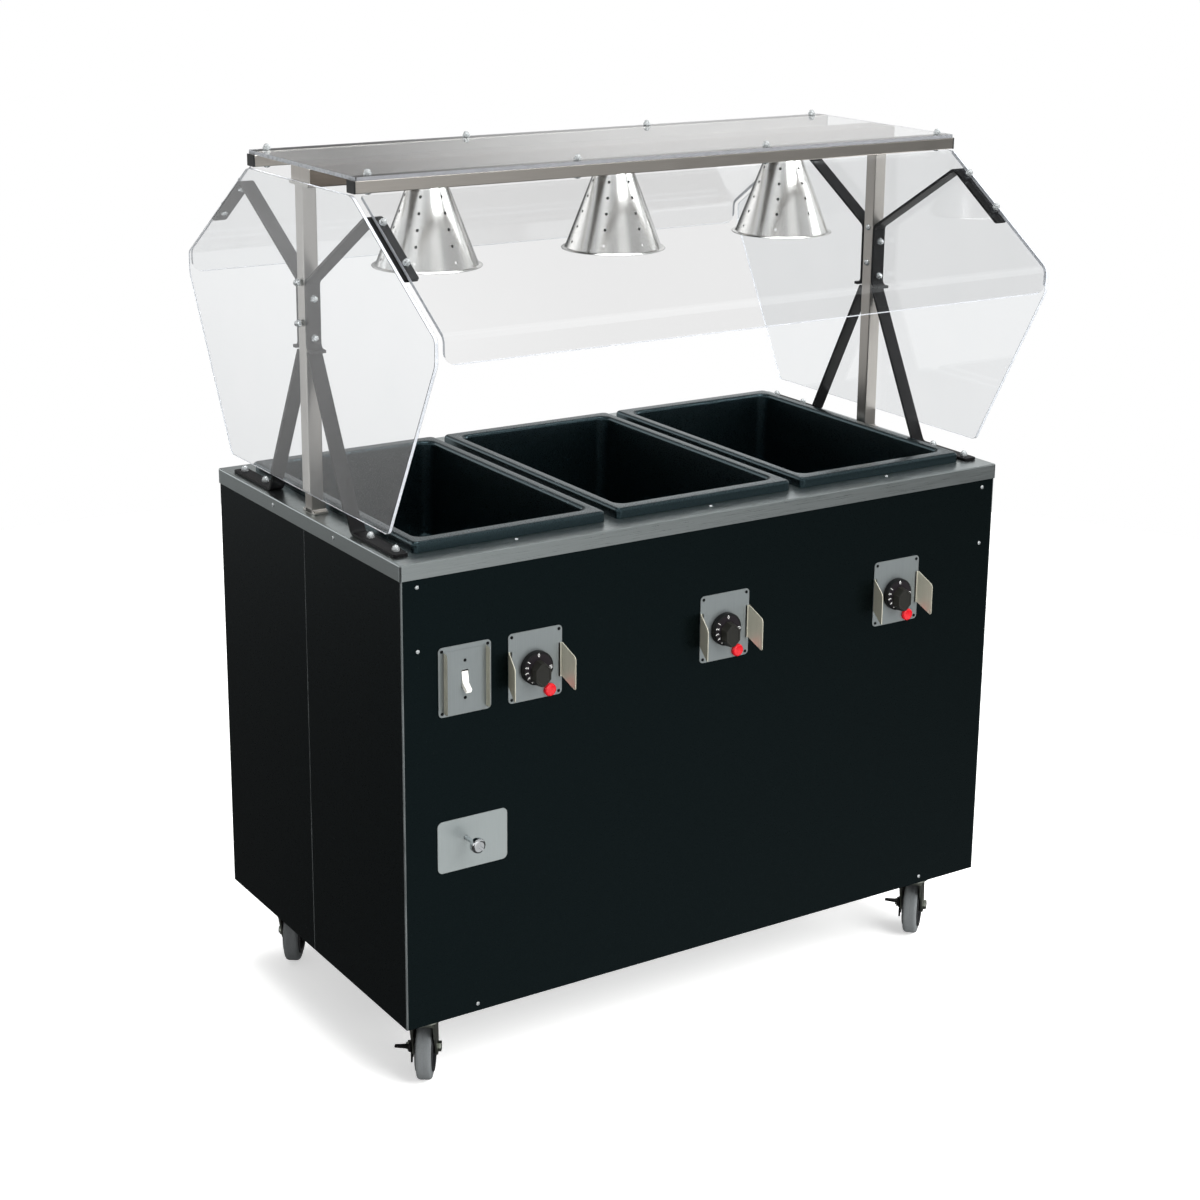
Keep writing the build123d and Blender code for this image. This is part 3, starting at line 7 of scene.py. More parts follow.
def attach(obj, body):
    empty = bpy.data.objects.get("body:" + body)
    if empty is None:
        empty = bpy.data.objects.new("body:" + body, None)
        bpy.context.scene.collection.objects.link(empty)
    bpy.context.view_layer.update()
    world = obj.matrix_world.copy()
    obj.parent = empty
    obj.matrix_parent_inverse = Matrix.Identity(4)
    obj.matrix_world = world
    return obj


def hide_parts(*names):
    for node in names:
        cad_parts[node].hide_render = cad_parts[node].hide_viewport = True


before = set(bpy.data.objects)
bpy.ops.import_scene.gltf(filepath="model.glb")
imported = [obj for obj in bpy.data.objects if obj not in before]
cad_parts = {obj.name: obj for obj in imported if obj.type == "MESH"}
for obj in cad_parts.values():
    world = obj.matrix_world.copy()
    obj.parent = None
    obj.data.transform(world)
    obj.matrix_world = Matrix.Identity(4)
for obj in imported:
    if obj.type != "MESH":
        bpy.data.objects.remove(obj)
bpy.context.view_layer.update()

mm = 0.001
print("frame loaded:", len(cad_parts), "nodes")


# modelling helpers

def deselectAll():
    if bpy.context.mode != "OBJECT":
        bpy.ops.object.mode_set(mode="OBJECT")
    bpy.ops.object.select_all(action="DESELECT")


def activate(piece):
    deselectAll()
    piece.select_set(True)
    bpy.context.view_layer.objects.active = piece


def settle(piece):
    activate(piece)
    bpy.ops.object.transform_apply(location=True, rotation=True, scale=True)
    return piece


def edit(piece):
    activate(piece)
    bpy.ops.object.mode_set(mode="EDIT")


def leave():
    bpy.ops.object.mode_set(mode="OBJECT")


def pick(kind, test):
    # selects by the middle and the normal (an edge's direction), in mm
    bpy.ops.mesh.select_mode(type=kind)
    bpy.ops.mesh.select_all(action="DESELECT")
    mesh = bmesh.from_edit_mesh(bpy.context.object.data)
    for part in {"VERT": mesh.verts, "EDGE": mesh.edges, "FACE": mesh.faces}[kind]:
        if kind == "VERT":
            middle, facing = part.co, part.normal
        elif kind == "EDGE":
            start, end = part.verts[0].co, part.verts[1].co
            middle, facing = (start + end) / 2, (end - start).normalized()
        else:
            middle, facing = part.calc_center_median(), part.normal
        part.select_set(bool(test(middle / mm, facing)))
    mesh.select_flush_mode()
    bmesh.update_edit_mesh(bpy.context.object.data)


def near(a, b, slack=0.05):
    return abs(a - b) < slack


def block(name, low, high):
    deselectAll()
    low, high = Vector(low) * mm, Vector(high) * mm
    bpy.ops.mesh.primitive_cube_add(size=1, location=(low + high) / 2)
    piece = bpy.context.object
    piece.name = name
    piece.scale = high - low
    return settle(piece)


def roundCorners(piece, axis, radius, steps=6):
    # rounds the block's edges that run along one axis
    edit(piece)
    pick("EDGE", lambda middle, facing: abs(facing[axis]) > 0.99)
    bpy.ops.mesh.bevel(offset=radius * mm, segments=steps, affect="EDGES")
    leave()
    return piece


def taper(piece, shareX, shareY, about=(0, 0, 0)):
    # narrows a block towards its top
    edit(piece)
    pick("FACE", lambda at, facing: facing.z > 0.9)
    bpy.ops.transform.resize(value=(shareX, shareY, 1), center_override=Vector(about) * mm)
    leave()
    return piece


def sheetPlate(name, width, height, corner, gauge, middle=(0, 0)):
    # a flat plate about the origin, its back at z = 0 and its front face up
    low = (middle[0] - width / 2, middle[1] - height / 2, 0)
    plate = block(name, low, (middle[0] + width / 2, middle[1] + height / 2, gauge))
    return roundCorners(plate, 2, corner)


def soften(piece, width, steps=2, angle=35):
    activate(piece)
    bevel = piece.modifiers.new("edges", "BEVEL")
    bevel.width = width * mm
    bevel.segments = steps
    bevel.limit_method = "ANGLE"
    bevel.angle_limit = math.radians(angle)
    bpy.ops.object.modifier_apply(modifier="edges")
    return piece


def smooth(piece, angle=38):
    activate(piece)
    bpy.ops.object.shade_smooth_by_angle(angle=math.radians(angle))
    facing = piece.modifiers.new("facing", "WEIGHTED_NORMAL")
    facing.keep_sharp = True
    bpy.ops.object.modifier_apply(modifier="facing")
    return piece


def turned(name, profile, steps=48, closed=False):
    # a lathe job about Z: (radius, height) pairs in mm, and a radius of 0 closes an end
    deselectAll()
    tiny = 0.01
    rings = [(max(radius, tiny) * mm, height * mm) for radius, height in profile]
    bpy.ops.mesh.primitive_circle_add(vertices=steps, radius=rings[0][0], location=(0, 0, rings[0][1]))
    piece = bpy.context.object
    piece.name = name
    settle(piece)
    edit(piece)
    bpy.ops.mesh.select_mode(type="EDGE")
    bpy.ops.mesh.select_all(action="SELECT")
    for (radius, height), (nextRadius, nextHeight) in zip(rings, rings[1:]):
        bpy.ops.mesh.extrude_region_move(TRANSFORM_OT_translate={"value": (0, 0, nextHeight - height)})
        grow = nextRadius / radius
        bpy.ops.transform.resize(value=(grow, grow, 1), center_override=(0, 0, nextHeight))
    if profile[-1][0] == 0:
        bpy.ops.mesh.merge(type="CENTER")
    if profile[0][0] == 0:
        pole = profile[0][1]
        pick("VERT", lambda middle, facing: near(middle.z, pole, 0.001) and middle.xy.length < 2 * tiny)
        bpy.ops.mesh.merge(type="CENTER")
    bpy.ops.mesh.select_all(action="SELECT")
    if closed:
        bpy.ops.mesh.remove_doubles(threshold=0.01 * mm)
    bpy.ops.mesh.normals_make_consistent(inside=False)
    leave()
    return piece


def moulded(name, corner, levels, steps=8):
    # a moulding of rounded rectangles: (half width, half depth, height) for each level
    deselectAll()
    halfWidth, halfDepth, height = (value * mm for value in levels[0])
    bpy.ops.mesh.primitive_plane_add(size=2, location=(0, 0, height))
    piece = bpy.context.object
    piece.name = name
    piece.scale = (halfWidth, halfDepth, 1)
    settle(piece)
    edit(piece)
    bpy.ops.mesh.select_mode(type="VERT")
    bpy.ops.mesh.select_all(action="SELECT")
    bpy.ops.mesh.bevel(offset=corner * mm, segments=steps, affect="VERTICES")
    bpy.ops.mesh.select_mode(type="EDGE")
    bpy.ops.mesh.select_all(action="SELECT")
    for nextWidth, nextDepth, nextHeight in levels[1:]:
        nextWidth, nextDepth, nextHeight = nextWidth * mm, nextDepth * mm, nextHeight * mm
        bpy.ops.mesh.extrude_region_move(TRANSFORM_OT_translate={"value": (0, 0, nextHeight - height)})
        bpy.ops.transform.resize(
            value=(nextWidth / halfWidth, nextDepth / halfDepth, 1), center_override=(0, 0, nextHeight)
        )
        halfWidth, halfDepth, height = nextWidth, nextDepth, nextHeight
    bpy.ops.mesh.select_all(action="SELECT")
    bpy.ops.mesh.normals_make_consistent(inside=False)
    leave()
    return piece


def squareCorners(piece, levels, chosen, corner, share):
    # draws the rounded corners of the chosen levels of a moulding towards square, to a share of their radius
    firstWidth, firstDepth = levels[0][:2]
    edit(piece)
    for halfWidth, halfDepth, height in chosen:
        roundX, roundY = corner * halfWidth / firstWidth, corner * halfDepth / firstDepth
        for sx, sy in ((-1, -1), (-1, 1), (1, -1), (1, 1)):
            def onCorner(at, facing):
                out, on = (sx * at.x - halfWidth) / roundX + 1, (sy * at.y - halfDepth) / roundY + 1
                return near(at.z, height) and min(out, on) > -0.01 and near(out * out + on * on, 1)

            pick("VERT", onCorner)
            place = (sx * halfWidth * mm, sy * halfDepth * mm, height * mm)
            bpy.ops.transform.resize(value=(share, share, 1), center_override=place)
    leave()
    return piece


def folded(name, route, width, thickness, bend, across=(1, 0, 0), shape=None, steps=6):
    # flat stock bent along the points of its middle line; shape edits it before it gets its thickness
    deselectAll()
    points = [Vector(point) * mm for point in route]
    sideways, onward = Vector(across) * width * mm, points[1] - points[0]
    bpy.ops.mesh.primitive_plane_add(size=1)
    piece = bpy.context.object
    piece.name = name
    axes = Matrix((sideways, onward, sideways.cross(onward).normalized())).transposed().to_4x4()
    piece.matrix_world = Matrix.Translation((points[0] + points[1]) / 2) @ axes
    settle(piece)
    edit(piece)
    pick("EDGE", lambda middle, facing: (middle * mm - points[1]).length < 0.01 * mm)
    for start, end in zip(points[1:], points[2:]):
        bpy.ops.mesh.extrude_region_move(TRANSFORM_OT_translate={"value": end - start})
    for before, corner, after in zip(points, points[1:], points[2:]):
        pick("EDGE", lambda middle, facing: (middle * mm - corner).length < 0.01 * mm)
        swing = (corner - before).angle(after - corner)
        bpy.ops.mesh.bevel(offset=bend * math.tan(swing / 2) * mm, segments=steps, affect="EDGES")
    if shape:
        shape()
    leave()
    return thicken(piece, thickness)


def thicken(piece, thickness):
    edit(piece)
    bpy.ops.mesh.select_all(action="SELECT")
    bpy.ops.mesh.normals_make_consistent(inside=False)
    activate(piece)
    wall = piece.modifiers.new("wall", "SOLIDIFY")
    wall.thickness = thickness * mm
    wall.offset = 0
    wall.use_even_offset = True
    bpy.ops.object.modifier_apply(modifier="wall")
    return piece


def shifted(route, distance):
    # a YZ route moved sideways, to its left when Y runs right and Z runs up
    points = [Vector(point[1:]) for point in route]
    ways = [(end - start).normalized() for start, end in zip(points, points[1:])]
    moved = []
    for index, point in enumerate(points):
        before, after = ways[max(index - 1, 0)], ways[min(index, len(ways) - 1)]
        left = Vector((-before.y - after.y, before.x + after.x)).normalized()
        reach = distance / left.dot(Vector((-after.y, after.x)))
        moved.append((route[index][0], point.x + left.x * reach, point.y + left.y * reach))
    return moved


def rod(name, radius, start, end, steps=24):
    deselectAll()
    start, end = Vector(start) * mm, Vector(end) * mm
    bpy.ops.mesh.primitive_cylinder_add(
        vertices=steps, radius=radius * mm, depth=(end - start).length, location=(start + end) / 2,
        rotation=(end - start).to_track_quat("Z", "Y").to_euler(),
    )
    bpy.context.object.name = name
    return settle(bpy.context.object)


def hexHead(name, radius, low, high, chamfer):
    deselectAll()
    bpy.ops.mesh.primitive_cylinder_add(
        vertices=6, radius=radius * mm, depth=(high - low) * mm, location=(0, 0, (low + high) / 2 * mm)
    )
    head = settle(bpy.context.object)
    head.name = name
    return soften(head, chamfer, 2, 50)


def combine(piece, other, operation):
    activate(piece)
    change = piece.modifiers.new("change", "BOOLEAN")
    change.operation = operation
    change.solver = "EXACT"
    change.object = other
    bpy.ops.object.modifier_apply(modifier="change")
    activate(other)
    bpy.ops.object.delete()
    return piece


# how a piece modelled about Z is turned so that its Z points that way
facings = {
    "up": (0, 0, 0), "down": (180, 0, 0), "front": (90, 0, 0),
    "rear": (90, 0, 180), "left": (90, 0, -90), "right": (90, 0, 90),
}


def put(piece, place, facing="up"):
    degrees = facings[facing] if isinstance(facing, str) else facing
    piece.rotation_euler = [math.radians(value) for value in degrees]
    piece.location = Vector(place) * mm
    return settle(piece)


def spin(piece, degrees):
    return put(piece, (0, 0, 0), (0, 0, degrees))


def copyOf(piece, name, place=(0, 0, 0), facing="up"):
    activate(piece)
    bpy.ops.object.duplicate()
    copy = bpy.context.object
    copy.name = name
    return put(copy, place, facing)


def drop(piece):
    activate(piece)
    bpy.ops.object.delete()


def joined(name, pieces):
    activate(pieces[0])
    for piece in pieces:
        piece.select_set(True)
    if len(pieces) > 1:
        bpy.ops.object.join()
    bpy.context.object.name = name
    return bpy.context.object


def fit(piece, look, body, slot, *nodes):
    piece.data.materials.clear()
    piece.data.materials.append(look)
    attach(piece, body)
    if nodes:
        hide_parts(*nodes)
    return piece


def paint(piece, look, test):
    # a second finish on the faces that test picks
    piece.data.materials.append(look)
    edit(piece)
    pick("FACE", test)
    bpy.context.object.active_material_index = len(piece.data.materials) - 1
    bpy.ops.object.material_slot_assign()
    leave()
    return piece


# materials

def toLinear(colour):
    levels = [int(colour[i:i + 2], 16) / 255 for i in (1, 3, 5)]
    return (*[v / 12.92 if v <= 0.04045 else ((v + 0.055) / 1.055) ** 2.4 for v in levels], 1)


def addNode(tree, kind, values=None, links=None, **settings):
    node = tree.nodes.new("ShaderNode" + kind)
    for key, value in settings.items():
        setattr(node, key, value)
    for key, value in (values or {}).items():
        node.inputs[key].default_value = value
    for key, source in (links or {}).items():
        tree.links.new(source, node.inputs[key])
    return node


def startLook(name):
    look = bpy.data.materials.new(name)
    look.use_nodes = True
    return look, look.node_tree, look.node_tree.nodes["Principled BSDF"]


def vary(tree, shader, noise, tints, rough, span=(0.0, 1.0)):
    # colour and roughness follow the noise between the two ends of its span
    follow = noise.outputs["Fac"]
    tint = addNode(tree, "Mix", {6: toLinear(tints[0]), 7: toLinear(tints[1])}, {0: follow}, data_type="RGBA")
    ends = {"From Min": span[0], "From Max": span[1], "To Min": rough[0], "To Max": rough[1]}
    dullness = addNode(tree, "MapRange", ends, {"Value": follow})
    tree.links.new(tint.outputs[2], shader.inputs["Base Color"])
    tree.links.new(dullness.outputs["Result"], shader.inputs["Roughness"])


def grainLook(name, dark, light, rough, grain, bump, metallic=1.0, detail=3.0, **values):
    # grain is the size of the pattern in mm along X, Y and Z; colour, roughness and bump follow it
    look, tree, shader = startLook(name)
    place = addNode(tree, "TexCoord")
    scale = [1 / (value * mm) for value in grain]
    size = addNode(tree, "Mapping", {"Scale": scale}, {"Vector": place.outputs["Object"]})
    fineness = {"Scale": 1.0, "Detail": detail, "Roughness": 0.55}
    noise = addNode(tree, "TexNoise", fineness, {"Vector": size.outputs[0]})
    vary(tree, shader, noise, (dark, light), rough, (0.3, 0.7))
    relief = addNode(tree, "Bump", {"Strength": bump, "Distance": 0.1 * mm}, {"Height": noise.outputs["Fac"]})
    tree.links.new(relief.outputs["Normal"], shader.inputs["Normal"])
    shader.inputs["Metallic"].default_value = metallic
    for key, value in values.items():
        shader.inputs[key.replace("_", " ")].default_value = value
    return look


def sheetLook(name, tints, rough, grain):
    # a clear sheet's skin: faint waviness, grain mm across, keeps its highlights alive
    look, tree, shader = startLook(name)
    place = addNode(tree, "TexCoord")
    waves = {"Scale": 1 / (grain * mm), "Detail": 2.0}
    noise = addNode(tree, "TexNoise", waves, {"Vector": place.outputs["Object"]})
    vary(tree, shader, noise, tints, rough)
    return look, tree, shader


def clearLook(name, tints, rough, grain, ior):
    # a clear solid that lets the lamps' light through
    look, tree, shader = sheetLook(name, tints, rough, grain)
    shader.inputs["IOR"].default_value = ior
    shader.inputs["Transmission Weight"].default_value = 1.0
    path = addNode(tree, "LightPath")
    through = addNode(tree, "BsdfTransparent", {"Color": toLinear(tints[1])})
    sides = {0: path.outputs["Is Shadow Ray"], 1: shader.outputs[0], 2: through.outputs[0]}
    blend = addNode(tree, "MixShader", {}, sides)
    tree.links.new(blend.outputs[0], tree.nodes["Material Output"].inputs["Surface"])
    return look


def sheerLook(name, tint, skin, share, rough, grain):
    # thin clear sheet: what is behind shows unbent, under an even, faint mirror
    look, tree, shader = sheetLook(name, skin, rough, grain)
    shader.inputs["Metallic"].default_value = 1.0
    through = addNode(tree, "BsdfTransparent", {"Color": toLinear(tint)})
    blend = addNode(tree, "MixShader", {0: share}, {1: through.outputs[0], 2: shader.outputs[0]})
    tree.links.new(blend.outputs[0], tree.nodes["Material Output"].inputs["Surface"])
    return look


# satin sheet with the mill's long grain; real grain is about 0.1 mm, drawn at 0.8 mm to show
stainlessX = grainLook("brushedStainlessLong", "#9aa2a2", "#bdc4c4", (0.26, 0.38), (60, 0.8, 0.8), 0.05)
# the same sheet cut so that its grain stands upright on the small plates
stainlessZ = grainLook(
    "brushedStainlessUpright", "#8a9192", "#9aa1a2", (0.32, 0.42), (0.8, 0.8, 60), 0.02, 0.75
)
# painted reflection: the bent wings and hood walls get a paler, warmer copy of the upright stainless,
# standing in for the warm light they reflect
stainlessPaintedReflection = grainLook("brushedStainlessPaintedReflection", "#bdbba9", "#d6d4c4", (0.3, 0.4), (0.8, 0.8, 60), 0.02, 0.5)
# painted light: the drain plate gets a paler copy of the upright stainless, standing in for the brighter
# reflection it shows lower down
stainlessPaintedLight = grainLook(
    "brushedStainlessPaintedLight", "#a4acac", "#b4bcbc", (0.32, 0.42), (0.8, 0.8, 60), 0.02, 0.75
)
# the guard's posts and rails, a warmer and duller batch of tube
tubeX = grainLook("tubeStainlessLong", "#b8b3ac", "#cfcac3", (0.28, 0.38), (60, 0.8, 0.8), 0.03)
tubeZ = grainLook("tubeStainlessUpright", "#b0aca7", "#cac6c0", (0.28, 0.38), (0.8, 0.8, 60), 0.03)
# painted shade: the raceway's folded sheet is a dull, dark brown copy of the tube stainless, standing in for
# the shade under the shelf and rails; its ends keep the lit tube finish
racewayPaintedShade = grainLook("stainlessPaintedShade", "#4c463f", "#645c54", (0.4, 0.52), (60, 1.2, 1.2), 0.03, 0.6)
# semi-gloss baked enamel over steel: nearly black, with a fine orange peel
enamel = grainLook(
    "blackBakedEnamel", "#020404", "#040707", (0.26, 0.34), (2.2, 2.2, 2.2), 0.08, 0.0,
    Specular_IOR_Level=0.15, Specular_Tint=toLinear("#b8f0ff"),
)
# painted highlight: the same enamel drawn grey along its folds and seams, in uneven runs, standing in for the
# light the bends and seams catch
enamelPaintedHighlight = grainLook(
    "enamelPaintedHighlight", "#0c0f10", "#73797a", (0.35, 0.5), (4, 4, 70), 0.05, 0.0, Specular_IOR_Level=0.3
)
# moulded thermoset: dense black, a soft sheen from the tool's finish
thermoset = grainLook(
    "blackThermoset", "#020405", "#04090a", (0.24, 0.34), (1.6, 1.6, 1.6), 0.08, 0.0,
    Specular_IOR_Level=0.9, Specular_Tint=toLinear("#c8f2ff"),
)
# powder coat on flat bar: dark grey, dry, with a pebbled skin
powder = grainLook(
    "powderCoat", "#0b0b0c", "#151516", (0.42, 0.58), (0.9, 0.9, 0.9), 0.25, 0.0, Specular_IOR_Level=0.15
)
# cast acrylic: polished, a trace of grey in its depth
acrylic = clearLook("castAcrylic", ("#f0f2f3", "#f4f5f6"), (0.0, 0.02), 90, 1.49)
# extruded acrylic, bent hot for the slopes: an even faint grey, with a thin gloss
bentAcrylic = sheerLook("extrudedAcrylic", "#fdfdfd", ("#d4d7d9", "#e2e5e7"), 0.08, (0.03, 0.08), 90)
# painted light: the sheets' flamed edges get a pale, faintly uneven opaque skin, standing in for the light
# they gather
acrylicEdgePaintedLight = grainLook("edgePaintedLight", "#a9adb3", "#c6c9ce", (0.2, 0.4), (6, 6, 6), 0.05, 0.0)
# painted shade: the shelf's long sawn edges get a darker grey copy of the edge skin, standing in for the
# dimmer line they show over the rails
edgePaintedShade = grainLook("edgePaintedShade", "#66676a", "#84868a", (0.4, 0.55), (6, 6, 6), 0.05, 0.0)
# spun and washed aluminium: bright, its polish uneven by a hand's breadth
aluminium = grainLook("spunAluminium", "#ececea", "#f3f3f1", (0.2, 0.27), (40, 40, 40), 0.0)
# painted shade: the shades' insides are a dark grey copy of the aluminium, standing in for the shade inside
# the closed cones, so that the holes show dark
aluminiumPaintedShade = grainLook("aluminiumPaintedShade", "#4a4946", "#63625e", (0.4, 0.5), (30, 30, 6), 0.01)
# zinc plate with its pale green-yellow passivation in soft patches
zinc = grainLook("zincPlate", "#9fa59a", "#c5c9bf", (0.28, 0.42), (7, 7, 7), 0.05)
# bright chrome, faintly fingered
chrome = grainLook("chromePlate", "#ccd1d4", "#e4e7e9", (0.07, 0.16), (9, 9, 9), 0.0)
# tumbled bright zinc on the acorn nuts and panel screws: pale, with a soft gleam
brightZinc = grainLook("brightZinc", "#bcc1c2", "#dde1e2", (0.22, 0.32), (4, 4, 4), 0.02, 0.7)
# black oxide screws: dark, slightly oily
oxide = grainLook("blackOxide", "#1f2122", "#343638", (0.32, 0.45), (2, 2, 2), 0.05)
# grey non-marking tread rubber, matt, with dust in its pores
rubber = grainLook("greyRubber", "#5c5f60", "#74787a", (0.6, 0.8), (2.5, 2.5, 2.5), 0.2, 0.0)
# glass-filled nylon wheel centre, dark and matt
nylon = grainLook("glassFilledNylon", "#1b1c1e", "#2b2d2f", (0.45, 0.6), (1.2, 1.2, 1.2), 0.15, 0.0)
# phenolic knob: hard black with a moulded gloss
phenolic = grainLook(
    "phenolic", "#08090a", "#101112", (0.36, 0.48), (3, 3, 3), 0.04, 0.0, Specular_IOR_Level=0.25
)
# the dial's flat face and its grip, rubbed to a dull grey
phenolicFace = grainLook(
    "rubbedPhenolic", "#141114", "#1d191d", (0.45, 0.6), (1.5, 1.5, 1.5), 0.05, 0.0, Specular_IOR_Level=0.3
)
phenolicGrip = grainLook(
    "handledPhenolic", "#161614", "#22221e", (0.4, 0.55), (2, 2, 2), 0.05, 0.0, Specular_IOR_Level=0.4
)
# rail plugs, inlet and inner switchgear: black moulding with a fine spark finish
blackPlastic = grainLook("blackMoulding", "#121314", "#1f2122", (0.4, 0.55), (0.8, 0.8, 0.8), 0.15, 0.0)
# urea toggle: warm white, glossy
whitePlastic = grainLook("whiteUrea", "#e6e5df", "#f1f0ea", (0.22, 0.32), (5, 5, 5), 0.02, 0.0)
# pad-printed ink on the dials: flat white, slightly uneven cover
whiteInk = grainLook("whiteInk", "#d5d6d4", "#ecedeb", (0.5, 0.65), (0.6, 0.6, 0.6), 0.05, 0.0)
# red polycarbonate lens, deep and shiny
redLens = grainLook(
    "redPolycarbonate", "#a50b15", "#c91320", (0.08, 0.16), (4, 4, 4), 0.0, 0.0, Coat_Weight=0.6
)
# brass of the drain fittings and the inlet's blades, dulled
brass = grainLook("dullBrass", "#8f7434", "#b3964d", (0.32, 0.5), (6, 6, 6), 0.08)
# hot-dip galvanised sheet with its spangle
galvanised = grainLook("galvanisedSheet", "#8d9496", "#b4babb", (0.35, 0.55), (14, 14, 14), 0.05, detail=1.0)
# heating element sheath, browned by heat
sheath = grainLook("heatedSheath", "#4b4038", "#6d6259", (0.4, 0.55), (10, 10, 10), 0.05)
# glazed porcelain lamp holder
porcelain = grainLook("glazedPorcelain", "#dcd9cf", "#ece9e0", (0.15, 0.25), (8, 8, 8), 0.03, 0.0)
# frosted heat-lamp glass over its reflector coat
lampGlass = grainLook("frostedLampGlass", "#d9dcdb", "#eef0ef", (0.2, 0.32), (5, 5, 5), 0.02, 0.0)
print("materials made:", len(bpy.data.materials))


# wells

wellSpec = {
    "centres": {"left": -365, "center": 0, "right": 365},
    "corner": 26,
    # half width, half depth and height, from the outer floor over the rim to the inner floor
    "levels": [
        (138, 243.5, 750), (146, 251.5, 753), (150.2, 255.6, 760), (156, 261.3, 913), (156, 261.3, 925),
        (167, 280, 925), (167, 280, 915.3), (172, 285, 915.3), (172, 285, 926.5), (171.2, 284.2, 929.6),
        (169.4, 282.4, 931.4), (166.8, 279.8, 932), (157.5, 263, 932), (154.8, 260.3, 931.2),
        (152.8, 258.3, 929.2), (152, 257.5, 926), (151.4, 257, 908), (146.8, 252.2, 770),
        (145.2, 250.6, 762), (141.4, 246.8, 756.4), (135, 240.4, 754),
    ],
    # the rim is nearly square at its corners and the basin is tighter than the body below the counter
    "rimLevels": (5, 12),
    "rimShare": 0.27,
    "basinShare": 0.68,
    "drainY": -100,
    "drainRadius": 10,
    "drainCut": (740, 770),
}
strainerSpec = {
    "profile": [
        (0, 753.4), (8.4, 753.4), (9.6, 754.3), (16, 754.3), (18.6, 755.2), (18.8, 756), (17.4, 756.4),
        (11.6, 755.4), (10.2, 754.6), (0, 754.6),
    ],
    "holes": 6,
    "holeCircle": 5.6,
    "holeRadius": 1.5,
    "holeCut": (750, 758),
}

levels = wellSpec["levels"]
wellModel = moulded("wellModel", wellSpec["corner"], levels)
first, last = wellSpec["rimLevels"]
squareCorners(wellModel, levels, levels[first:last], wellSpec["corner"], wellSpec["rimShare"])
squareCorners(wellModel, levels, levels[last:], wellSpec["corner"], wellSpec["basinShare"])
start, end = ((0, wellSpec["drainY"], z) for z in wellSpec["drainCut"])
combine(wellModel, rod("drainBore", wellSpec["drainRadius"], start, end), "DIFFERENCE")
smooth(wellModel, 40)
strainerModel = turned("strainerModel", strainerSpec["profile"])
for index in range(strainerSpec["holes"]):
    swing = 2 * math.pi * index / strainerSpec["holes"]
    x, y = strainerSpec["holeCircle"] * math.cos(swing), strainerSpec["holeCircle"] * math.sin(swing)
    start, end = ((x, y, z) for z in strainerSpec["holeCut"])
    combine(strainerModel, rod("hole", strainerSpec["holeRadius"], start, end, 12), "DIFFERENCE")
smooth(strainerModel)
for side, x in wellSpec["centres"].items():
    well = copyOf(wellModel, "well" + side.title(), (x, 0, 0))
    fit(well, thermoset, "table", "well_thermoset", "well_" + side)
    strainer = copyOf(strainerModel, "strainer" + side.title(), (x, wellSpec["drainY"], 0))
    fit(strainer, stainlessX, "table", "stainless")
drop(wellModel)
drop(strainerModel)
print("wells made")


# control plates, dials and pilot lights

controlSpec = {
    "xs": {"left": -350, "center": 10, "right": 370},
    "z": 719,
    "wrapFace": -328,
    "width": 97,
    "height": 114,
    "gauge": 1.5,
    "corner": 7,
    "wingRoot": 56,
    "wingReach": 33,
    "wingTopFall": 18,
    "wingTipFall": 17,
    "wingSplay": 12,
    "wingLap": 6,
    "wingBend": 3,
    "wingRound": 5,
    "edge": 0.35,
    # holes are cut by tools that stand out this far
    "cutReach": 5,
}
plateFront = controlSpec["wrapFace"] - controlSpec["gauge"]


def wing(side):
    spec = controlSpec
    splay = math.radians(spec["wingSplay"])
    edge = side * (spec["width"] / 2 - spec["gauge"] / 2)
    level = spec["gauge"] / 2
    tip = (edge + side * math.sin(splay) * spec["wingReach"], 0, level + math.cos(splay) * spec["wingReach"])

    def slope():
        for top, fall in ((True, spec["wingTopFall"]), (False, spec["wingTipFall"])):
            pick("VERT", lambda at, facing: near(at.z, tip[2]) and (at.y > 0) == top)
            bpy.ops.transform.translate(value=(0, -fall * mm, 0))
        pick("VERT", lambda at, facing: near(at.z, tip[2]))
        bpy.ops.mesh.bevel(offset=spec["wingRound"] * mm, segments=5, affect="VERTICES")

    route = [(edge - side * spec["wingLap"], 0, level), (edge, 0, level), tip]
    return folded("wing", route, spec["wingRoot"], spec["gauge"], spec["wingBend"], (0, 1, 0), slope)


plateModel = sheetPlate(
    "plateModel", controlSpec["width"], controlSpec["height"], controlSpec["corner"], controlSpec["gauge"]
)
wingModel = joined("wingModel", [wing(-1), wing(1)])
# the wings take the paler, warmer copy of the stainless: painted reflection
plateParts = (("controlPlates", plateModel, stainlessZ), ("controlWings", wingModel, stainlessPaintedReflection))
for name, model, look in plateParts:
    smooth(soften(model, controlSpec["edge"]))
    copies = [
        copyOf(model, "copy", (x, controlSpec["wrapFace"], controlSpec["z"]), "front")
        for x in controlSpec["xs"].values()
    ]
    drop(model)
    fit(joined(name, copies), look, "table", "stainless", "control_plates")

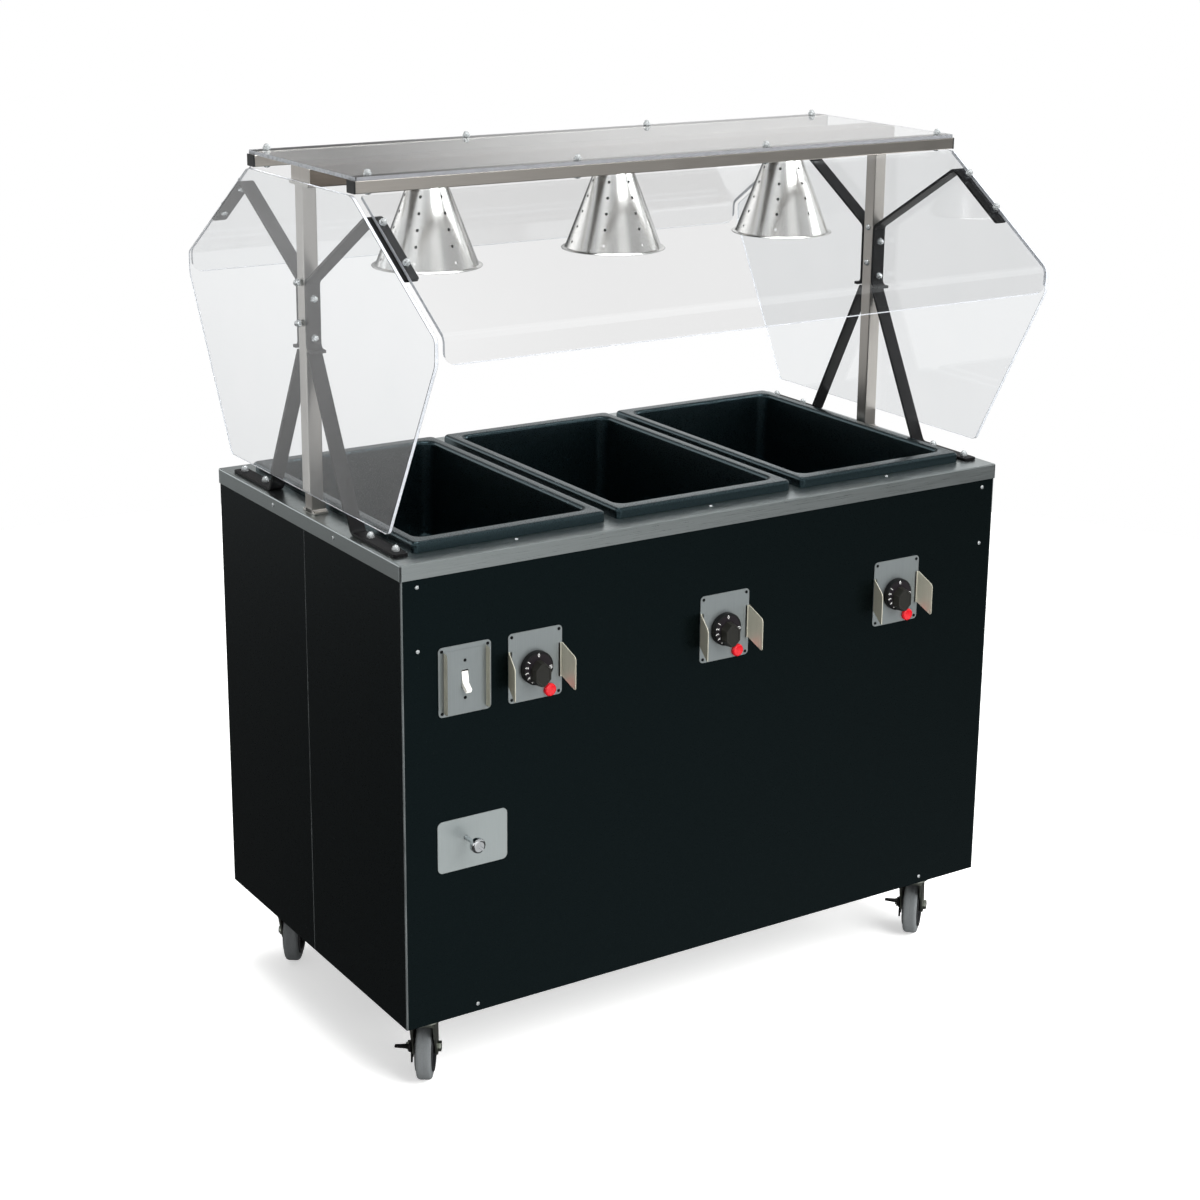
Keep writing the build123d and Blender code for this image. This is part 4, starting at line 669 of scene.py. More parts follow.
dialSpec = {
    "gap": 0.6,
    "drop": 4,
    "skirt": [
        (0, 0), (26.7, 0), (27.5, 0.8), (27.5, 7.9), (26.9, 8.8), (25.4, 9.8), (24.8, 10), (12, 10), (0, 10),
    ],
    "face": [(0, 9.9), (24.2, 9.9), (24.2, 10.02), (23.9, 10.05), (0, 10.05)],
    "gripWidth": 30,
    "gripHeight": 41,
    "gripDrop": 6.5,
    "gripCorner": 11,
    "gripFoot": 9.8,
    "gripHead": 25,
    "gripNarrow": 0.91,
    "gripInset": 3,
    "gripDish": 0.6,
    "gripEdge": 1.1,
    "shaftRadius": 3,
    "shaftEnd": -16.6,
    # text, then degrees counter-clockwise from the top; the grip's tail covers what lies between 5 and 8
    "marks": [
        ("0", 0), ("1", 54), ("2", 78), ("3", 102), ("4", 126), ("5", 150),
        ("8", 222), ("9", 246), ("10", 270),
    ],
    "markRadius": 21.2,
    "markSize": 7.2,
    "markZ": 10.1,
    # inner and outer end, half width, back and front
    "tick": (23.9, 25, 0.3, 9.9, 10.12),
}


def makeDial():
    spec = dialSpec
    skirt = turned("skirt", spec["skirt"], 64)
    half, tall = spec["gripWidth"] / 2, spec["gripHeight"] / 2
    middle = -spec["gripDrop"]
    grip = block("grip", (-half, middle - tall, spec["gripFoot"]), (half, middle + tall, spec["gripHead"]))
    roundCorners(grip, 2, spec["gripCorner"], 1)
    edit(grip)
    pick("FACE", lambda at, facing: facing.z > 0.9)
    narrow, crown = spec["gripNarrow"], (0, middle * mm, spec["gripHead"] * mm)
    bpy.ops.transform.resize(value=(narrow, narrow, 1), center_override=crown)
    bpy.ops.mesh.inset(thickness=spec["gripInset"] * mm)
    bpy.ops.mesh.extrude_region_move(TRANSFORM_OT_translate={"value": (0, 0, -spec["gripDish"] * mm)})
    leave()
    soften(grip, spec["gripEdge"], 3, 20)
    shaft = rod("shaft", spec["shaftRadius"], (0, 0, spec["shaftEnd"]), (0, 0, 1))
    face = turned("face", spec["face"], 64)
    return [smooth(joined("dialModel", [skirt, shaft])), smooth(grip), smooth(face)]


def figure(text, size, depth=0.1):
    deselectAll()
    bpy.ops.object.text_add()
    words = bpy.context.object
    words.data.body = text
    words.data.size = size * mm
    words.data.extrude = depth / 2 * mm
    words.data.align_x = "CENTER"
    words.data.align_y = "CENTER"
    bpy.ops.object.convert(target="MESH")
    return bpy.context.object


def makeMarks():
    # figures on the flat of the skirt, each standing outwards, with a tick beyond it
    spec = dialSpec
    inner, outer, half, back, front = spec["tick"]
    marks = []
    for text, degrees in spec["marks"]:
        mark = figure(text, spec["markSize"])
        put(mark, (0, spec["markRadius"], spec["markZ"]))
        tick = block("tick", (-half, inner, back), (half, outer, front))
        for piece in (mark, tick):
            marks.append(spin(piece, degrees))
    return joined("marksModel", marks)


dialModels = [*makeDial(), makeMarks()]
dialPieces = ("dial", "dialGrip", "dialFace", "dialMarks")
dialLooks = (phenolic, phenolicGrip, phenolicFace, whiteInk)
for side, x in controlSpec["xs"].items():
    place = (x, plateFront - dialSpec["gap"], controlSpec["z"] - dialSpec["drop"])
    body = "thermostat_dial_" + side
    for model, name, look in zip(dialModels, dialPieces, dialLooks):
        slotName = "white_plastic" if look is whiteInk else "black_plastic"
        fit(copyOf(model, name + side.title(), place, "front"), look, body, slotName, "dial_" + side)
for model in dialModels:
    drop(model)

pilotSpec = {
    "x": 25.4,
    "z": -45.5,
    "profile": [
        (0, -20), (5.6, -20), (5.6, 0.1), (10.5, 0.1), (10.5, 3), (10.3, 4.1), (9.7, 5), (8.7, 5.7), (7.4, 6),
        (0, 6.2),
    ],
}
pilotModel = smooth(turned("pilotModel", pilotSpec["profile"], 40), 30)
pilots = [
    copyOf(pilotModel, "pilot", (x + pilotSpec["x"], plateFront, controlSpec["z"] + pilotSpec["z"]), "front")
    for x in controlSpec["xs"].values()
]
drop(pilotModel)
fit(joined("pilotLights", pilots), redLens, "table", "red_lens", "pilot_lights")
print("controls made")


# lamp switch

switchSpec = {
    "x": -475,
    "z": controlSpec["z"],
    "width": 92,
    "height": 112,
    "corner": controlSpec["corner"],
    "gauge": controlSpec["gauge"],
    "slot": (11.6, 30),
    "screwHole": 2.75,
    "hoodX": 37.1,
    "hoodWallFrom": 30,
    "hoodLow": -50,
    "hoodHigh": 48,
    "hoodReach": 13.3,
    "hoodGauge": 0.8,
    "hoodRound": 5,
    "hoodBend": 1.2,
    "hoodEdge": 0.15,
    "pivot": -12,
    "leverLength": 30,
    "leverWidth": 11,
    "leverRoot": 10,
    "leverTip": 7,
    "leverTaper": 0.86,
    "leverRest": 35,
    "leverEdge": 0.9,
    "screwRise": 30.15,
    # radius and height from the front of the plate
    "flushScrew": [(0, -4), (1.5, -4), (1.5, 0.02), (2.55, 0.02), (2.6, 0.5), (2.3, 0.8), (0, 0.84)],
    # the flat above the lever: low and high along it, depth behind and before the pivot, and its turn
    "crown": (-7.8, 10, -6, 14.1),
    "crownTurn": -45,
    "crownEdge": 0.6,
}


def makeHood():
    # a shallow channel on the plate: web on the plate, a wall on each side of the toggle
    spec = switchSpec
    level = spec["gauge"] + spec["hoodGauge"] / 2
    middle, tall = (spec["hoodLow"] + spec["hoodHigh"]) / 2, spec["hoodHigh"] - spec["hoodLow"]
    top = spec["gauge"] + spec["hoodReach"]
    x = spec["hoodX"]

    def trim():
        pick("VERT", lambda at, facing: near(at.z, top))
        bpy.ops.mesh.bevel(offset=spec["hoodRound"] * mm, segments=5, affect="VERTICES")

    route = [(-x, middle, top), (-x, middle, level), (x, middle, level), (x, middle, top)]
    return folded("hood", route, tall, spec["hoodGauge"], spec["hoodBend"], (0, 1, 0), trim)


def cutSlot(piece):
    wide, tall = switchSpec["slot"]
    reach = controlSpec["cutReach"]
    tools = [block("slotTool", (-wide / 2, -tall / 2, -reach), (wide / 2, tall / 2, reach))]
    for sy in (-1, 1):
        y = sy * switchSpec["screwRise"]
        tools.append(rod("holeTool", switchSpec["screwHole"], (0, y, -reach), (0, y, reach)))
    return combine(piece, joined("slotTools", tools), "DIFFERENCE")


switchPlate = sheetPlate(
    "switchPlate", switchSpec["width"], switchSpec["height"], switchSpec["corner"], switchSpec["gauge"]
)
switchHood = makeHood()
for piece, edge in ((switchPlate, controlSpec["edge"]), (switchHood, switchSpec["hoodEdge"])):
    cutSlot(piece)
    smooth(soften(piece, edge))
    put(piece, (switchSpec["x"], controlSpec["wrapFace"], switchSpec["z"]), "front")
fit(switchPlate, stainlessZ, "table", "stainless", "switch_plate")
fit(switchHood, stainlessZ, "table", "stainless", "switch_plate")


def onHoodWall(at, facing):
    return abs(facing.x) > 0.7 and abs(at.x - switchSpec["x"]) > switchSpec["hoodWallFrom"]


# painted reflection: the hood's side walls take the paler, warmer copy of the stainless
paint(switchHood, stainlessPaintedReflection, onHoodWall)


def makeToggle():
    spec = switchSpec
    half, root = spec["leverWidth"] / 2, spec["leverRoot"] / 2
    lever = block("lever", (-half, -root, 0), (half, root, spec["leverLength"]))
    taper(lever, spec["leverTaper"], spec["leverTip"] / spec["leverRoot"])
    low, high, back, front = spec["crown"]
    crown = put(block("crown", (-half, low, back), (half, high, front)), (0, 0, 0), (spec["crownTurn"], 0, 0))
    return smooth(joined("toggle", [soften(lever, spec["leverEdge"], 3), soften(crown, spec["crownEdge"])]))


toggle = makeToggle()
pivot = (switchSpec["x"], plateFront - switchSpec["pivot"], switchSpec["z"])
put(toggle, pivot, (90 + switchSpec["leverRest"], 0, 0))
fit(toggle, whitePlastic, "toggle", "white_plastic", "switch_toggle")
print("switch made")


# drain pull

drainSpec = {
    "x": switchSpec["x"],
    "z": 458,
    "plate": (124, 86),
    "plateShift": (12, -9),
    "corner": 9,
    "gauge": controlSpec["gauge"],
    "rodRadius": 3.5,
    "rodClear": 0.3,
    "rodTail": -120,
    "rodSink": 1,
    "rodEdge": 0.4,
    "knobBack": 30.5,
    # radius and height above the back of the knob
    "knob": [
        (0, 0), (7.5, 0), (8.5, 0.6), (8.5, 2), (11.2, 2.6), (12, 3.6), (12, 9.8), (11.4, 11.6), (9.8, 12.8),
        (7.6, 13), (0, 13),
    ],
    # width, depth and reach
    "notch": (4, 3, 20),
    "notchTurn": -45,
    "knobEdge": 0.25,
}
drainPlate = sheetPlate(
    "drainPlate", *drainSpec["plate"], drainSpec["corner"], drainSpec["gauge"], drainSpec["plateShift"]
)
reach = controlSpec["cutReach"]
rodHole = rod("rodHole", drainSpec["rodRadius"] + drainSpec["rodClear"], (0, 0, -reach), (0, 0, reach))
combine(drainPlate, rodHole, "DIFFERENCE")
smooth(soften(drainPlate, controlSpec["edge"]))
put(drainPlate, (drainSpec["x"], controlSpec["wrapFace"], drainSpec["z"]), "front")
# painted light: the drain plate takes the paler copy of the stainless
fit(drainPlate, stainlessPaintedLight, "table", "stainless", "drain_plate")

knobBody = turned("knobBody", drainSpec["knob"], 56)
width, depth, reach = drainSpec["notch"]
knobTop = drainSpec["knob"][-1][1]
notch = block("notch", (0, -width / 2, knobTop - depth), (reach, width / 2, knobTop + depth))
combine(knobBody, spin(notch, drainSpec["notchTurn"]), "DIFFERENCE")
soften(knobBody, drainSpec["knobEdge"], 2, 50)
put(knobBody, (0, 0, drainSpec["knobBack"]))
tail, end = (0, 0, drainSpec["rodTail"]), (0, 0, drainSpec["knobBack"] + drainSpec["rodSink"])
pullRod = soften(rod("pullRod", drainSpec["rodRadius"], tail, end), drainSpec["rodEdge"])
drainKnob = smooth(joined("drainKnob", [knobBody, pullRod]))
put(drainKnob, (drainSpec["x"], controlSpec["wrapFace"], drainSpec["z"]), "front")
fit(drainKnob, chrome, "drain_pull", "chrome_plate", "drain_knob")
print("drain pull made")


# fasteners

screwSpec = {
    "profile": [
        (0, -3), (2, -3), (2, 0.05), (3, 0.05), (3.2, 0.4), (3, 1), (2.4, 1.5), (1.3, 1.75), (0, 1.8),
    ],
    # length, width and depth of the recess
    "cross": (3.6, 0.7, 0.8),
    "panel": [(sx * 555, z) for sx in (-1, 1) for z in (877, 776)] + [(sx * 455, 166.7) for sx in (-1, 1)],
    "skirt": [(sy * 110, 903) for sy in (-1, 1)],
    "skirtX": 584,
    "wellY": 297,
    "counter": 915,
    "plateInset": 6,
    "plateProfile": [
        (0, -3), (1.5, -3), (1.5, 0.05), (2.5, 0.05), (2.6, 0.4), (2.3, 1), (1.7, 1.3), (0, 1.4),
    ],
    "plateCross": (2.8, 0.6, 0.6),
}


def crossed(name, profile, steps, cross):
    # a turned screw with a cross recess in its head
    screw, top = turned(name, profile, steps), profile[-1][1]
    length, width, depth = cross
    for along, athwart in ((length / 2, width / 2), (width / 2, length / 2)):
        recess = block("recess", (-along, -athwart, top - depth), (along, athwart, top + depth))
        combine(screw, recess, "DIFFERENCE")
    return smooth(screw, 30)


def plateCorners(x, z, width, height):
    dx, dz = width / 2 - screwSpec["plateInset"], height / 2 - screwSpec["plateInset"]
    return [((x + sx * dx, plateFront, z + sz * dz), "front") for sx in (-1, 1) for sz in (-1, 1)]


def scattered(name, model, places):
    return joined(name, [copyOf(model, "screw", place, facing) for place, facing in places])


brightPlaces = [((x, controlSpec["wrapFace"], z), "front") for x, z in screwSpec["panel"]]
brightPlaces += [((x, -controlSpec["wrapFace"], z), "rear") for x, z in screwSpec["panel"]]
for side, sx in (("left", -1), ("right", 1)):
    brightPlaces += [((sx * screwSpec["skirtX"], y, z), side) for y, z in screwSpec["skirt"]]
brightPlaces += [
    ((x, sy * screwSpec["wellY"], screwSpec["counter"]), "up")
    for x in wellSpec["centres"].values() for sy in (-1, 1)
]
platePlaces = plateCorners(switchSpec["x"], switchSpec["z"], switchSpec["width"], switchSpec["height"])
for x in controlSpec["xs"].values():
    platePlaces += plateCorners(x, controlSpec["z"], controlSpec["width"], controlSpec["height"])
flushPlaces = [
    ((switchSpec["x"], plateFront, switchSpec["z"] + sz * switchSpec["screwRise"]), "front") for sz in (-1, 1)
]
screwModel = crossed("screwModel", screwSpec["profile"], 24, screwSpec["cross"])
plateScrewModel = crossed("plateScrewModel", screwSpec["plateProfile"], 20, screwSpec["plateCross"])
flushScrewModel = crossed("flushScrewModel", switchSpec["flushScrew"], 20, screwSpec["plateCross"])
brightScrews = scattered("brightScrews", screwModel, brightPlaces)
plateScrews = scattered("plateScrews", plateScrewModel, platePlaces)
plateScrews = joined("plateScrews", [plateScrews, scattered("flushScrews", flushScrewModel, flushPlaces)])
for model in (screwModel, plateScrewModel, flushScrewModel):
    drop(model)
fit(brightScrews, brightZinc, "table", "zinc_plate", "cabinet_screws")
fit(plateScrews, oxide, "table", "zinc_plate", "cabinet_screws")
print("screws made:", len(brightPlaces) + len(platePlaces) + len(flushPlaces))


# casters, modelled about the king pin with the wheel trailing along +Y

casterSpec = {
    "pivot": (510, 248),
    # how many degrees each one is turned
    "headings": {"front_left": 34, "front_right": 47, "rear_left": 35, "rear_right": 60},
}
forkSpec = {
    "legX": 18.75,
    "gauge": 3.5,
    "low": 41,
    "high": 118,
    "front": -26,
    "rear": 32,
    "trail": 30,
    "axleZ": 54,
    "endRadius": 13,
    "endRound": 0.85,
    "bend": 4,
    "edge": 0.5,
    "kingHole": 8,
    # the hole is cut from this far below the crown to this far above it
    "kingCut": (18, 12),
    "ring": [
        (17, 120), (29.2, 120), (30, 120.8), (30, 123.6), (28.8, 124.6), (28.8, 126.4), (30, 127.4),
        (30, 130.9), (29.2, 131.7), (17, 131.7), (17, 120),
    ],
}
hubSpec = {
    "profile": [
        (6.1, -15), (13.2, -15), (14, -14.2), (14, -7), (15, -6), (33.6, -6), (34.6, -7), (35, -14.2),
        (35.8, -15), (40.4, -15), (41, -14.4), (41, 14.4), (40.4, 15), (35.8, 15), (35, 14.2), (34.6, 7),
        (33.6, 6), (15, 6), (14, 7), (14, 14.2), (13.2, 15), (6.1, 15), (6.1, -15),
    ],
    "ribs": 6,
    # thickness, inner and outer radius, half height
    "rib": (2.4, 13.5, 35.5, 11.5),
    "ribEdge": 0.5,
}
tyreSpec = {
    "profile": [
        (41.05, -12.5), (48.4, -12.5), (50.4, -12.1), (52.2, -11), (53.4, -9.2), (54, -6.6), (54, -1),
        (53.7, -0.5), (53.7, 0.5), (54, 1), (54, 6.6), (53.4, 9.2), (52.2, 11), (50.4, 12.1), (48.4, 12.5),
        (41.05, 12.5), (41.05, -12.5),
    ],
}
axleSpec = {
    "radius": 6,
    "head": 9,
    "headHeight": 5.5,
    "tail": 2.5,
    "chamfer": 0.9,
    "edge": 0.8,
    "forkOuter": 20.5,
    "brakeOuter": 24.1,
}
brakeSpec = {
    "inner": 20.8,
    "gauge": 3,
    "edge": 0.5,
    "eye": 12,
    "bore": 6.3,
    # length, half width at the eye and at the end
    "arm": (42.05, 11.5, 7),
    "armRise": 25.35,
    "armRound": 0.9,
    "pedalY": -8,
    "pedalZ": 72,
    # reach, width at its root and at its tip
    "pedal": (26, 15, 8),
    "pedalEdge": 1.2,
    # width, start and end below the axle, radius of its arch
    "toe": (22, 3, 25, 7),
    # arch and bore are cut between these distances from the inner face
    "cut": (-5, 10),
}
mountSpec = {
    "plate": (100, 114),
    "corner": 8,
    "edge": 0.5,
    "low": 151.7,
    "high": 155.2,
    "neck": [
        (0, 151.9), (24, 151.9), (24, 140), (23.2, 138), (20, 136), (20, 133.4), (23.2, 132.8), (23.2, 132.1),
        (6, 132.1), (6, 115.7), (9.2, 115.7), (10, 115), (10, 112.4), (9.2, 111.7), (0, 111.7),
    ],
    # place, radius, height, sink into the plate and chamfer
    "bolt": (40, 47, 6.5, 4, 0.2, 0.7),
}


def makeFork():
    spec = forkSpec
    middle, deep = (spec["front"] + spec["rear"]) / 2, spec["rear"] - spec["front"]

    def shapeLegs():
        low, half = spec["low"], spec["endRadius"]
        for edge, target in ((spec["front"], spec["trail"] - half), (spec["rear"], spec["trail"] + half)):
            pick("VERT", lambda at, facing: near(at.z, low) and near(at.y, edge))
            bpy.ops.transform.translate(value=(0, (target - edge) * mm, 0))
        pick("VERT", lambda at, facing: near(at.z, low))
        bpy.ops.mesh.bevel(offset=half * spec["endRound"] * mm, segments=8, affect="VERTICES")

    x, low, high = spec["legX"], spec["low"], spec["high"]
    route = [(-x, middle, low), (-x, middle, high), (x, middle, high), (x, middle, low)]
    legs = folded("legs", route, deep, spec["gauge"], spec["bend"], (0, 1, 0), shapeLegs)
    below, above = spec["kingCut"]
    kingHole = rod("kingHole", spec["kingHole"], (0, 0, high - below), (0, 0, high + above), 32)
    combine(legs, kingHole, "DIFFERENCE")
    soften(legs, spec["edge"])
    ring = turned("ring", spec["ring"], 56, closed=True)
    return smooth(joined("forkModel", [legs, ring]))


def makeHub():
    hub = turned("hubModel", hubSpec["profile"], 64, closed=True)
    thick, inner, outer, half = hubSpec["rib"]
    ribs = []
    for index in range(hubSpec["ribs"]):
        rib = soften(block("rib", (-thick / 2, inner, -half), (thick / 2, outer, half)), hubSpec["ribEdge"])
        ribs.append(spin(rib, 360 * index / hubSpec["ribs"]))
    hub = smooth(joined("hubModel", [hub] + ribs))
    return put(hub, (0, forkSpec["trail"], forkSpec["axleZ"]), (0, 90, 0))


def makeTyre():
    tyre = smooth(turned("tyreModel", tyreSpec["profile"], 96, closed=True), 50)
    return put(tyre, (0, forkSpec["trail"], forkSpec["axleZ"]), (0, 90, 0))


def makeAxle(nearEnd):
    spec = axleSpec
    nutEnd, farEnd = -nearEnd - spec["headHeight"], spec["forkOuter"]
    pin = soften(rod("pin", spec["radius"], (0, 0, nutEnd - spec["tail"]), (0, 0, farEnd)), spec["edge"])
    head = hexHead("head", spec["head"], farEnd, farEnd + spec["headHeight"], spec["chamfer"])
    nut = hexHead("nut", spec["head"], nutEnd, -nearEnd, spec["chamfer"])
    axle = smooth(joined("axleModel", [pin, head, nut]))
    return put(axle, (0, forkSpec["trail"], forkSpec["axleZ"]), (0, 90, 0))


def makeBrake():
    # drawn on its side plate: x is the caster's -Y, y is Z, and z runs out from the plate's inner face
    spec = brakeSpec
    gauge = spec["gauge"]
    lever = rod("brakeModel", spec["eye"], (0, 0, 0), (0, 0, gauge), 48)
    length, rootHalf, endHalf = spec["arm"]
    arm = block("arm", (0, -rootHalf, 0), (length + endHalf, rootHalf, gauge))
    edit(arm)
    pick("FACE", lambda at, facing: facing.x > 0.9)
    bpy.ops.transform.resize(value=(1, endHalf / rootHalf, 1), center_override=(0, 0, 0))
    pick("EDGE", lambda at, facing: abs(facing.z) > 0.9 and at.x > length)
    bpy.ops.mesh.bevel(offset=endHalf * spec["armRound"] * mm, segments=6, affect="EDGES")
    combine(lever, spin(arm, spec["armRise"]), "UNION")
    width, start, fall, arch = spec["toe"]
    toe = block("toe", (-width / 2, -fall, 0), (width / 2, -start, gauge))
    inside, outside = spec["cut"]
    combine(toe, rod("arch", arch, (0, -fall, inside), (0, -fall, outside), 32), "DIFFERENCE")
    combine(lever, toe, "UNION")
    combine(lever, rod("bore", spec["bore"], (0, 0, inside), (0, 0, outside), 32), "DIFFERENCE")
    soften(lever, spec["edge"], 2, 50)
    reach, root, tip = spec["pedal"]
    pedalX, pedalRise = forkSpec["trail"] - spec["pedalY"], spec["pedalZ"] - forkSpec["axleZ"]
    pedal = block("pedal", (pedalX - root / 2, pedalRise, 0), (pedalX + root / 2, pedalRise + gauge, reach))
    soften(taper(pedal, tip / root, 1, (pedalX, 0, 0)), spec["pedalEdge"], 3)
    lever = smooth(joined("brakeModel", [lever, pedal]))
    return put(lever, (-spec["inner"], forkSpec["trail"], forkSpec["axleZ"]), (90, 0, -90))


def makeMount():
    spec = mountSpec
    plate = sheetPlate("mountModel", *spec["plate"], spec["corner"], spec["high"] - spec["low"])
    soften(put(plate, (0, 0, spec["low"])), spec["edge"])
    neck = turned("neck", spec["neck"], 48)
    x, y, radius, height, sink, chamfer = spec["bolt"]
    bolts = []
    for sx in (-1, 1):
        for sy in (-1, 1):
            bolt = hexHead("bolt", radius, spec["low"] - height, spec["low"] + sink, chamfer)
            bolts.append(put(bolt, (sx * x, sy * y, 0)))
    return smooth(joined("mountModel", [plate, neck] + bolts))


models = {
    "fork": makeFork(), "hub": makeHub(), "tyre": makeTyre(), "brake": makeBrake(), "mount": makeMount(),
    "axle": makeAxle(axleSpec["forkOuter"]), "brakeAxle": makeAxle(axleSpec["brakeOuter"]),
}
mounts = []
pivotX, pivotY = casterSpec["pivot"]
for corner, heading in casterSpec["headings"].items():
    braked = corner.startswith("front")
    x = pivotX if corner.endswith("right") else -pivotX
    y = -pivotY if braked else pivotY
    place, facing = (x, y, 0), (0, 0, -heading)
    plan = [
        ("fork", "fork", zinc, "caster_", "zinc_plate"),
        ("brakeAxle" if braked else "axle", "axle", zinc, "caster_", "zinc_plate"),
        ("hub", "hub", nylon, "wheel_", "hub_plastic"),
        ("tyre", "tyre", rubber, "wheel_", "grey_rubber"),
    ]
    if braked:
        plan.append(("brake", "brake", powder, "brake_lever_", "black_bar"))
    for model, node, look, body, slotName in plan:
        piece = copyOf(models[model], node + "_" + corner + "_look", place, facing)
        fit(piece, look, body + corner, slotName, node + "_" + corner)
    mounts.append(copyOf(models["mount"], "mount", place))
for model in models.values():
    drop(model)
fit(joined("casterMounts", mounts), zinc, "table", "zinc_plate", "caster_plates")
print("casters made")


# guard posts, shelf rails and raceway

postSpec = {
    "x": 560,
    "half": 12.7,
    "low": 915.2,
    "high": 1436,
    "round": 2,
    # half width, half depth and height
    "foot": (12.4, 21, 4),
    "footEdge": 0.8,
    # the fillet's spread at its root and at its head, its sink into the foot and its rise above it
    "weld": (3, 0.4, 1, 2.6),
    "weldEdge": 0.7,
    # the post stands this clear of the end sheet, so that the two faces don't share a plane
    "clear": 0.3,
}
railSpec = {
    "half": 572.7,
    "y": 175.5,
    "low": 1445,
    "high": 1464,
    "width": 25,
    "round": 1.6,
    "edge": 0.3,
    "cap": 3,
    "capEdge": 0.8,
    # how far the cap's face is set in, and how deep it is sunk
    "capFace": (2.2, 0.6),
}
racewaySpec = {
    "half": 572.4,
    "width": 64,
    "low": postSpec["high"],
    "high": railSpec["high"],
    "round": 1.8,
    "edge": 0.3,
    "endGauge": 1.5,
    # the lid's margin at its ends and sides, its stand and its sink
    "lid": (1, 2.4, 0.7, 1),
}

for side, sx in (("left", -1), ("right", 1)):
    spec = postSpec
    x, half = sx * spec["x"], spec["half"]
    breadth = half - spec["clear"]
    post = block("post", (x - breadth, -half, spec["low"]), (x + breadth, half, spec["high"]))
    roundCorners(post, 2, spec["round"], 4)
    footX, footY, footHigh = spec["foot"]
    foot = block("foot", (x - footX, -footY, spec["low"]), (x + footX, footY, spec["low"] + footHigh))
    soften(foot, spec["footEdge"])
    root, head, sink, rise = spec["weld"]
    weldLow, weldHigh = spec["low"] + footHigh - sink, spec["low"] + footHigh + rise
    weld = block("weld", (x - breadth, -half - root, weldLow), (x + breadth, half + root, weldHigh))
    soften(taper(weld, 1, (half + head) / (half + root), (x, 0, 0)), spec["weldEdge"])
    piece = smooth(joined("post" + side.title(), [post, foot, weld]))
    fit(piece, tubeZ, "table", "stainless", "post_" + side)

rails, caps = [], []
for sy in (-1, 1):
    spec = railSpec
    y, half = sy * spec["y"], spec["width"] / 2
    rail = block("rail", (-spec["half"], y - half, spec["low"]), (spec["half"], y + half, spec["high"]))
    rails.append(soften(roundCorners(rail, 0, spec["round"], 4), spec["edge"]))
    for sx in (-1, 1):
        inside, outside = sorted((sx * spec["half"], sx * (spec["half"] + spec["cap"])))
        cap = block("cap", (inside, y - half, spec["low"]), (outside, y + half, spec["high"]))
        edit(cap)
        pick("FACE", lambda at, facing: facing.x * sx > 0.9)
        setIn, sink = spec["capFace"]
        bpy.ops.mesh.inset(thickness=setIn * mm)
        bpy.ops.transform.translate(value=(-sx * sink * mm, 0, 0))
        leave()
        caps.append(soften(cap, spec["capEdge"], 3))
fit(smooth(joined("shelfRails", rails)), tubeX, "table", "stainless", "shelf_rails")
fit(smooth(joined("railCaps", caps)), blackPlastic, "table", "black_plastic", "rail_caps")

spec = racewaySpec
half = spec["width"] / 2
inner = spec["half"] - spec["endGauge"]
raceway = block("raceway", (-inner, -half, spec["low"]), (inner, half, spec["high"]))
roundCorners(raceway, 0, spec["round"], 4)
ends, sides, stand, sink = spec["lid"]
lid = block(
    "lid", (ends - inner, sides - half, spec["low"] - stand), (inner - ends, half - sides, spec["low"] + sink)
)
raceway = smooth(joined("racewayBox", [raceway, soften(lid, spec["edge"])]))
fit(raceway, racewayPaintedShade, "table", "stainless", "raceway")
# the raceway's ends keep the lit tube finish, while the box between them carries the painted shade
ends = []
for sx in (-1, 1):
    inside, outside = sorted((sx * inner, sx * spec["half"]))
    end = block("end", (inside, -half, spec["low"]), (outside, half, spec["high"]))
    ends.append(soften(roundCorners(end, 0, spec["round"], 4), spec["edge"]))
fit(smooth(joined("racewayEnds", ends)), tubeZ, "table", "stainless", "raceway")
print("shelf frame made")


# clear sheets

sheetSpec = {
    "gauge": 6,
    "polish": 0.5,
    "skin": 0.1,
    # half length, half depth, underside and corner
    "shelf": (railSpec["half"], railSpec["y"] + railSpec["width"] / 2, railSpec["high"], 3),
    "endX": 575.7,
    # half width and height of the end panels' corners, from the top down
    "endOutline": [(184, 1442), (434, 1272), (434, 1235), (282, 950)],
    "endRound": 7,
    "slopeHalf": 566.7,
    "slopeBend": 15,
    "slopeRound": 20,
    # the sloping sheet's inner line: its top edge, its bend and its lower edge
    "slopeLine": [(0, 191.9, 1439.0), (0, 436, 1273.1), (0, 436, 1235)],
}


def polished(sheet):
    return smooth(soften(sheet, sheetSpec["polish"], 2, 60), 20)


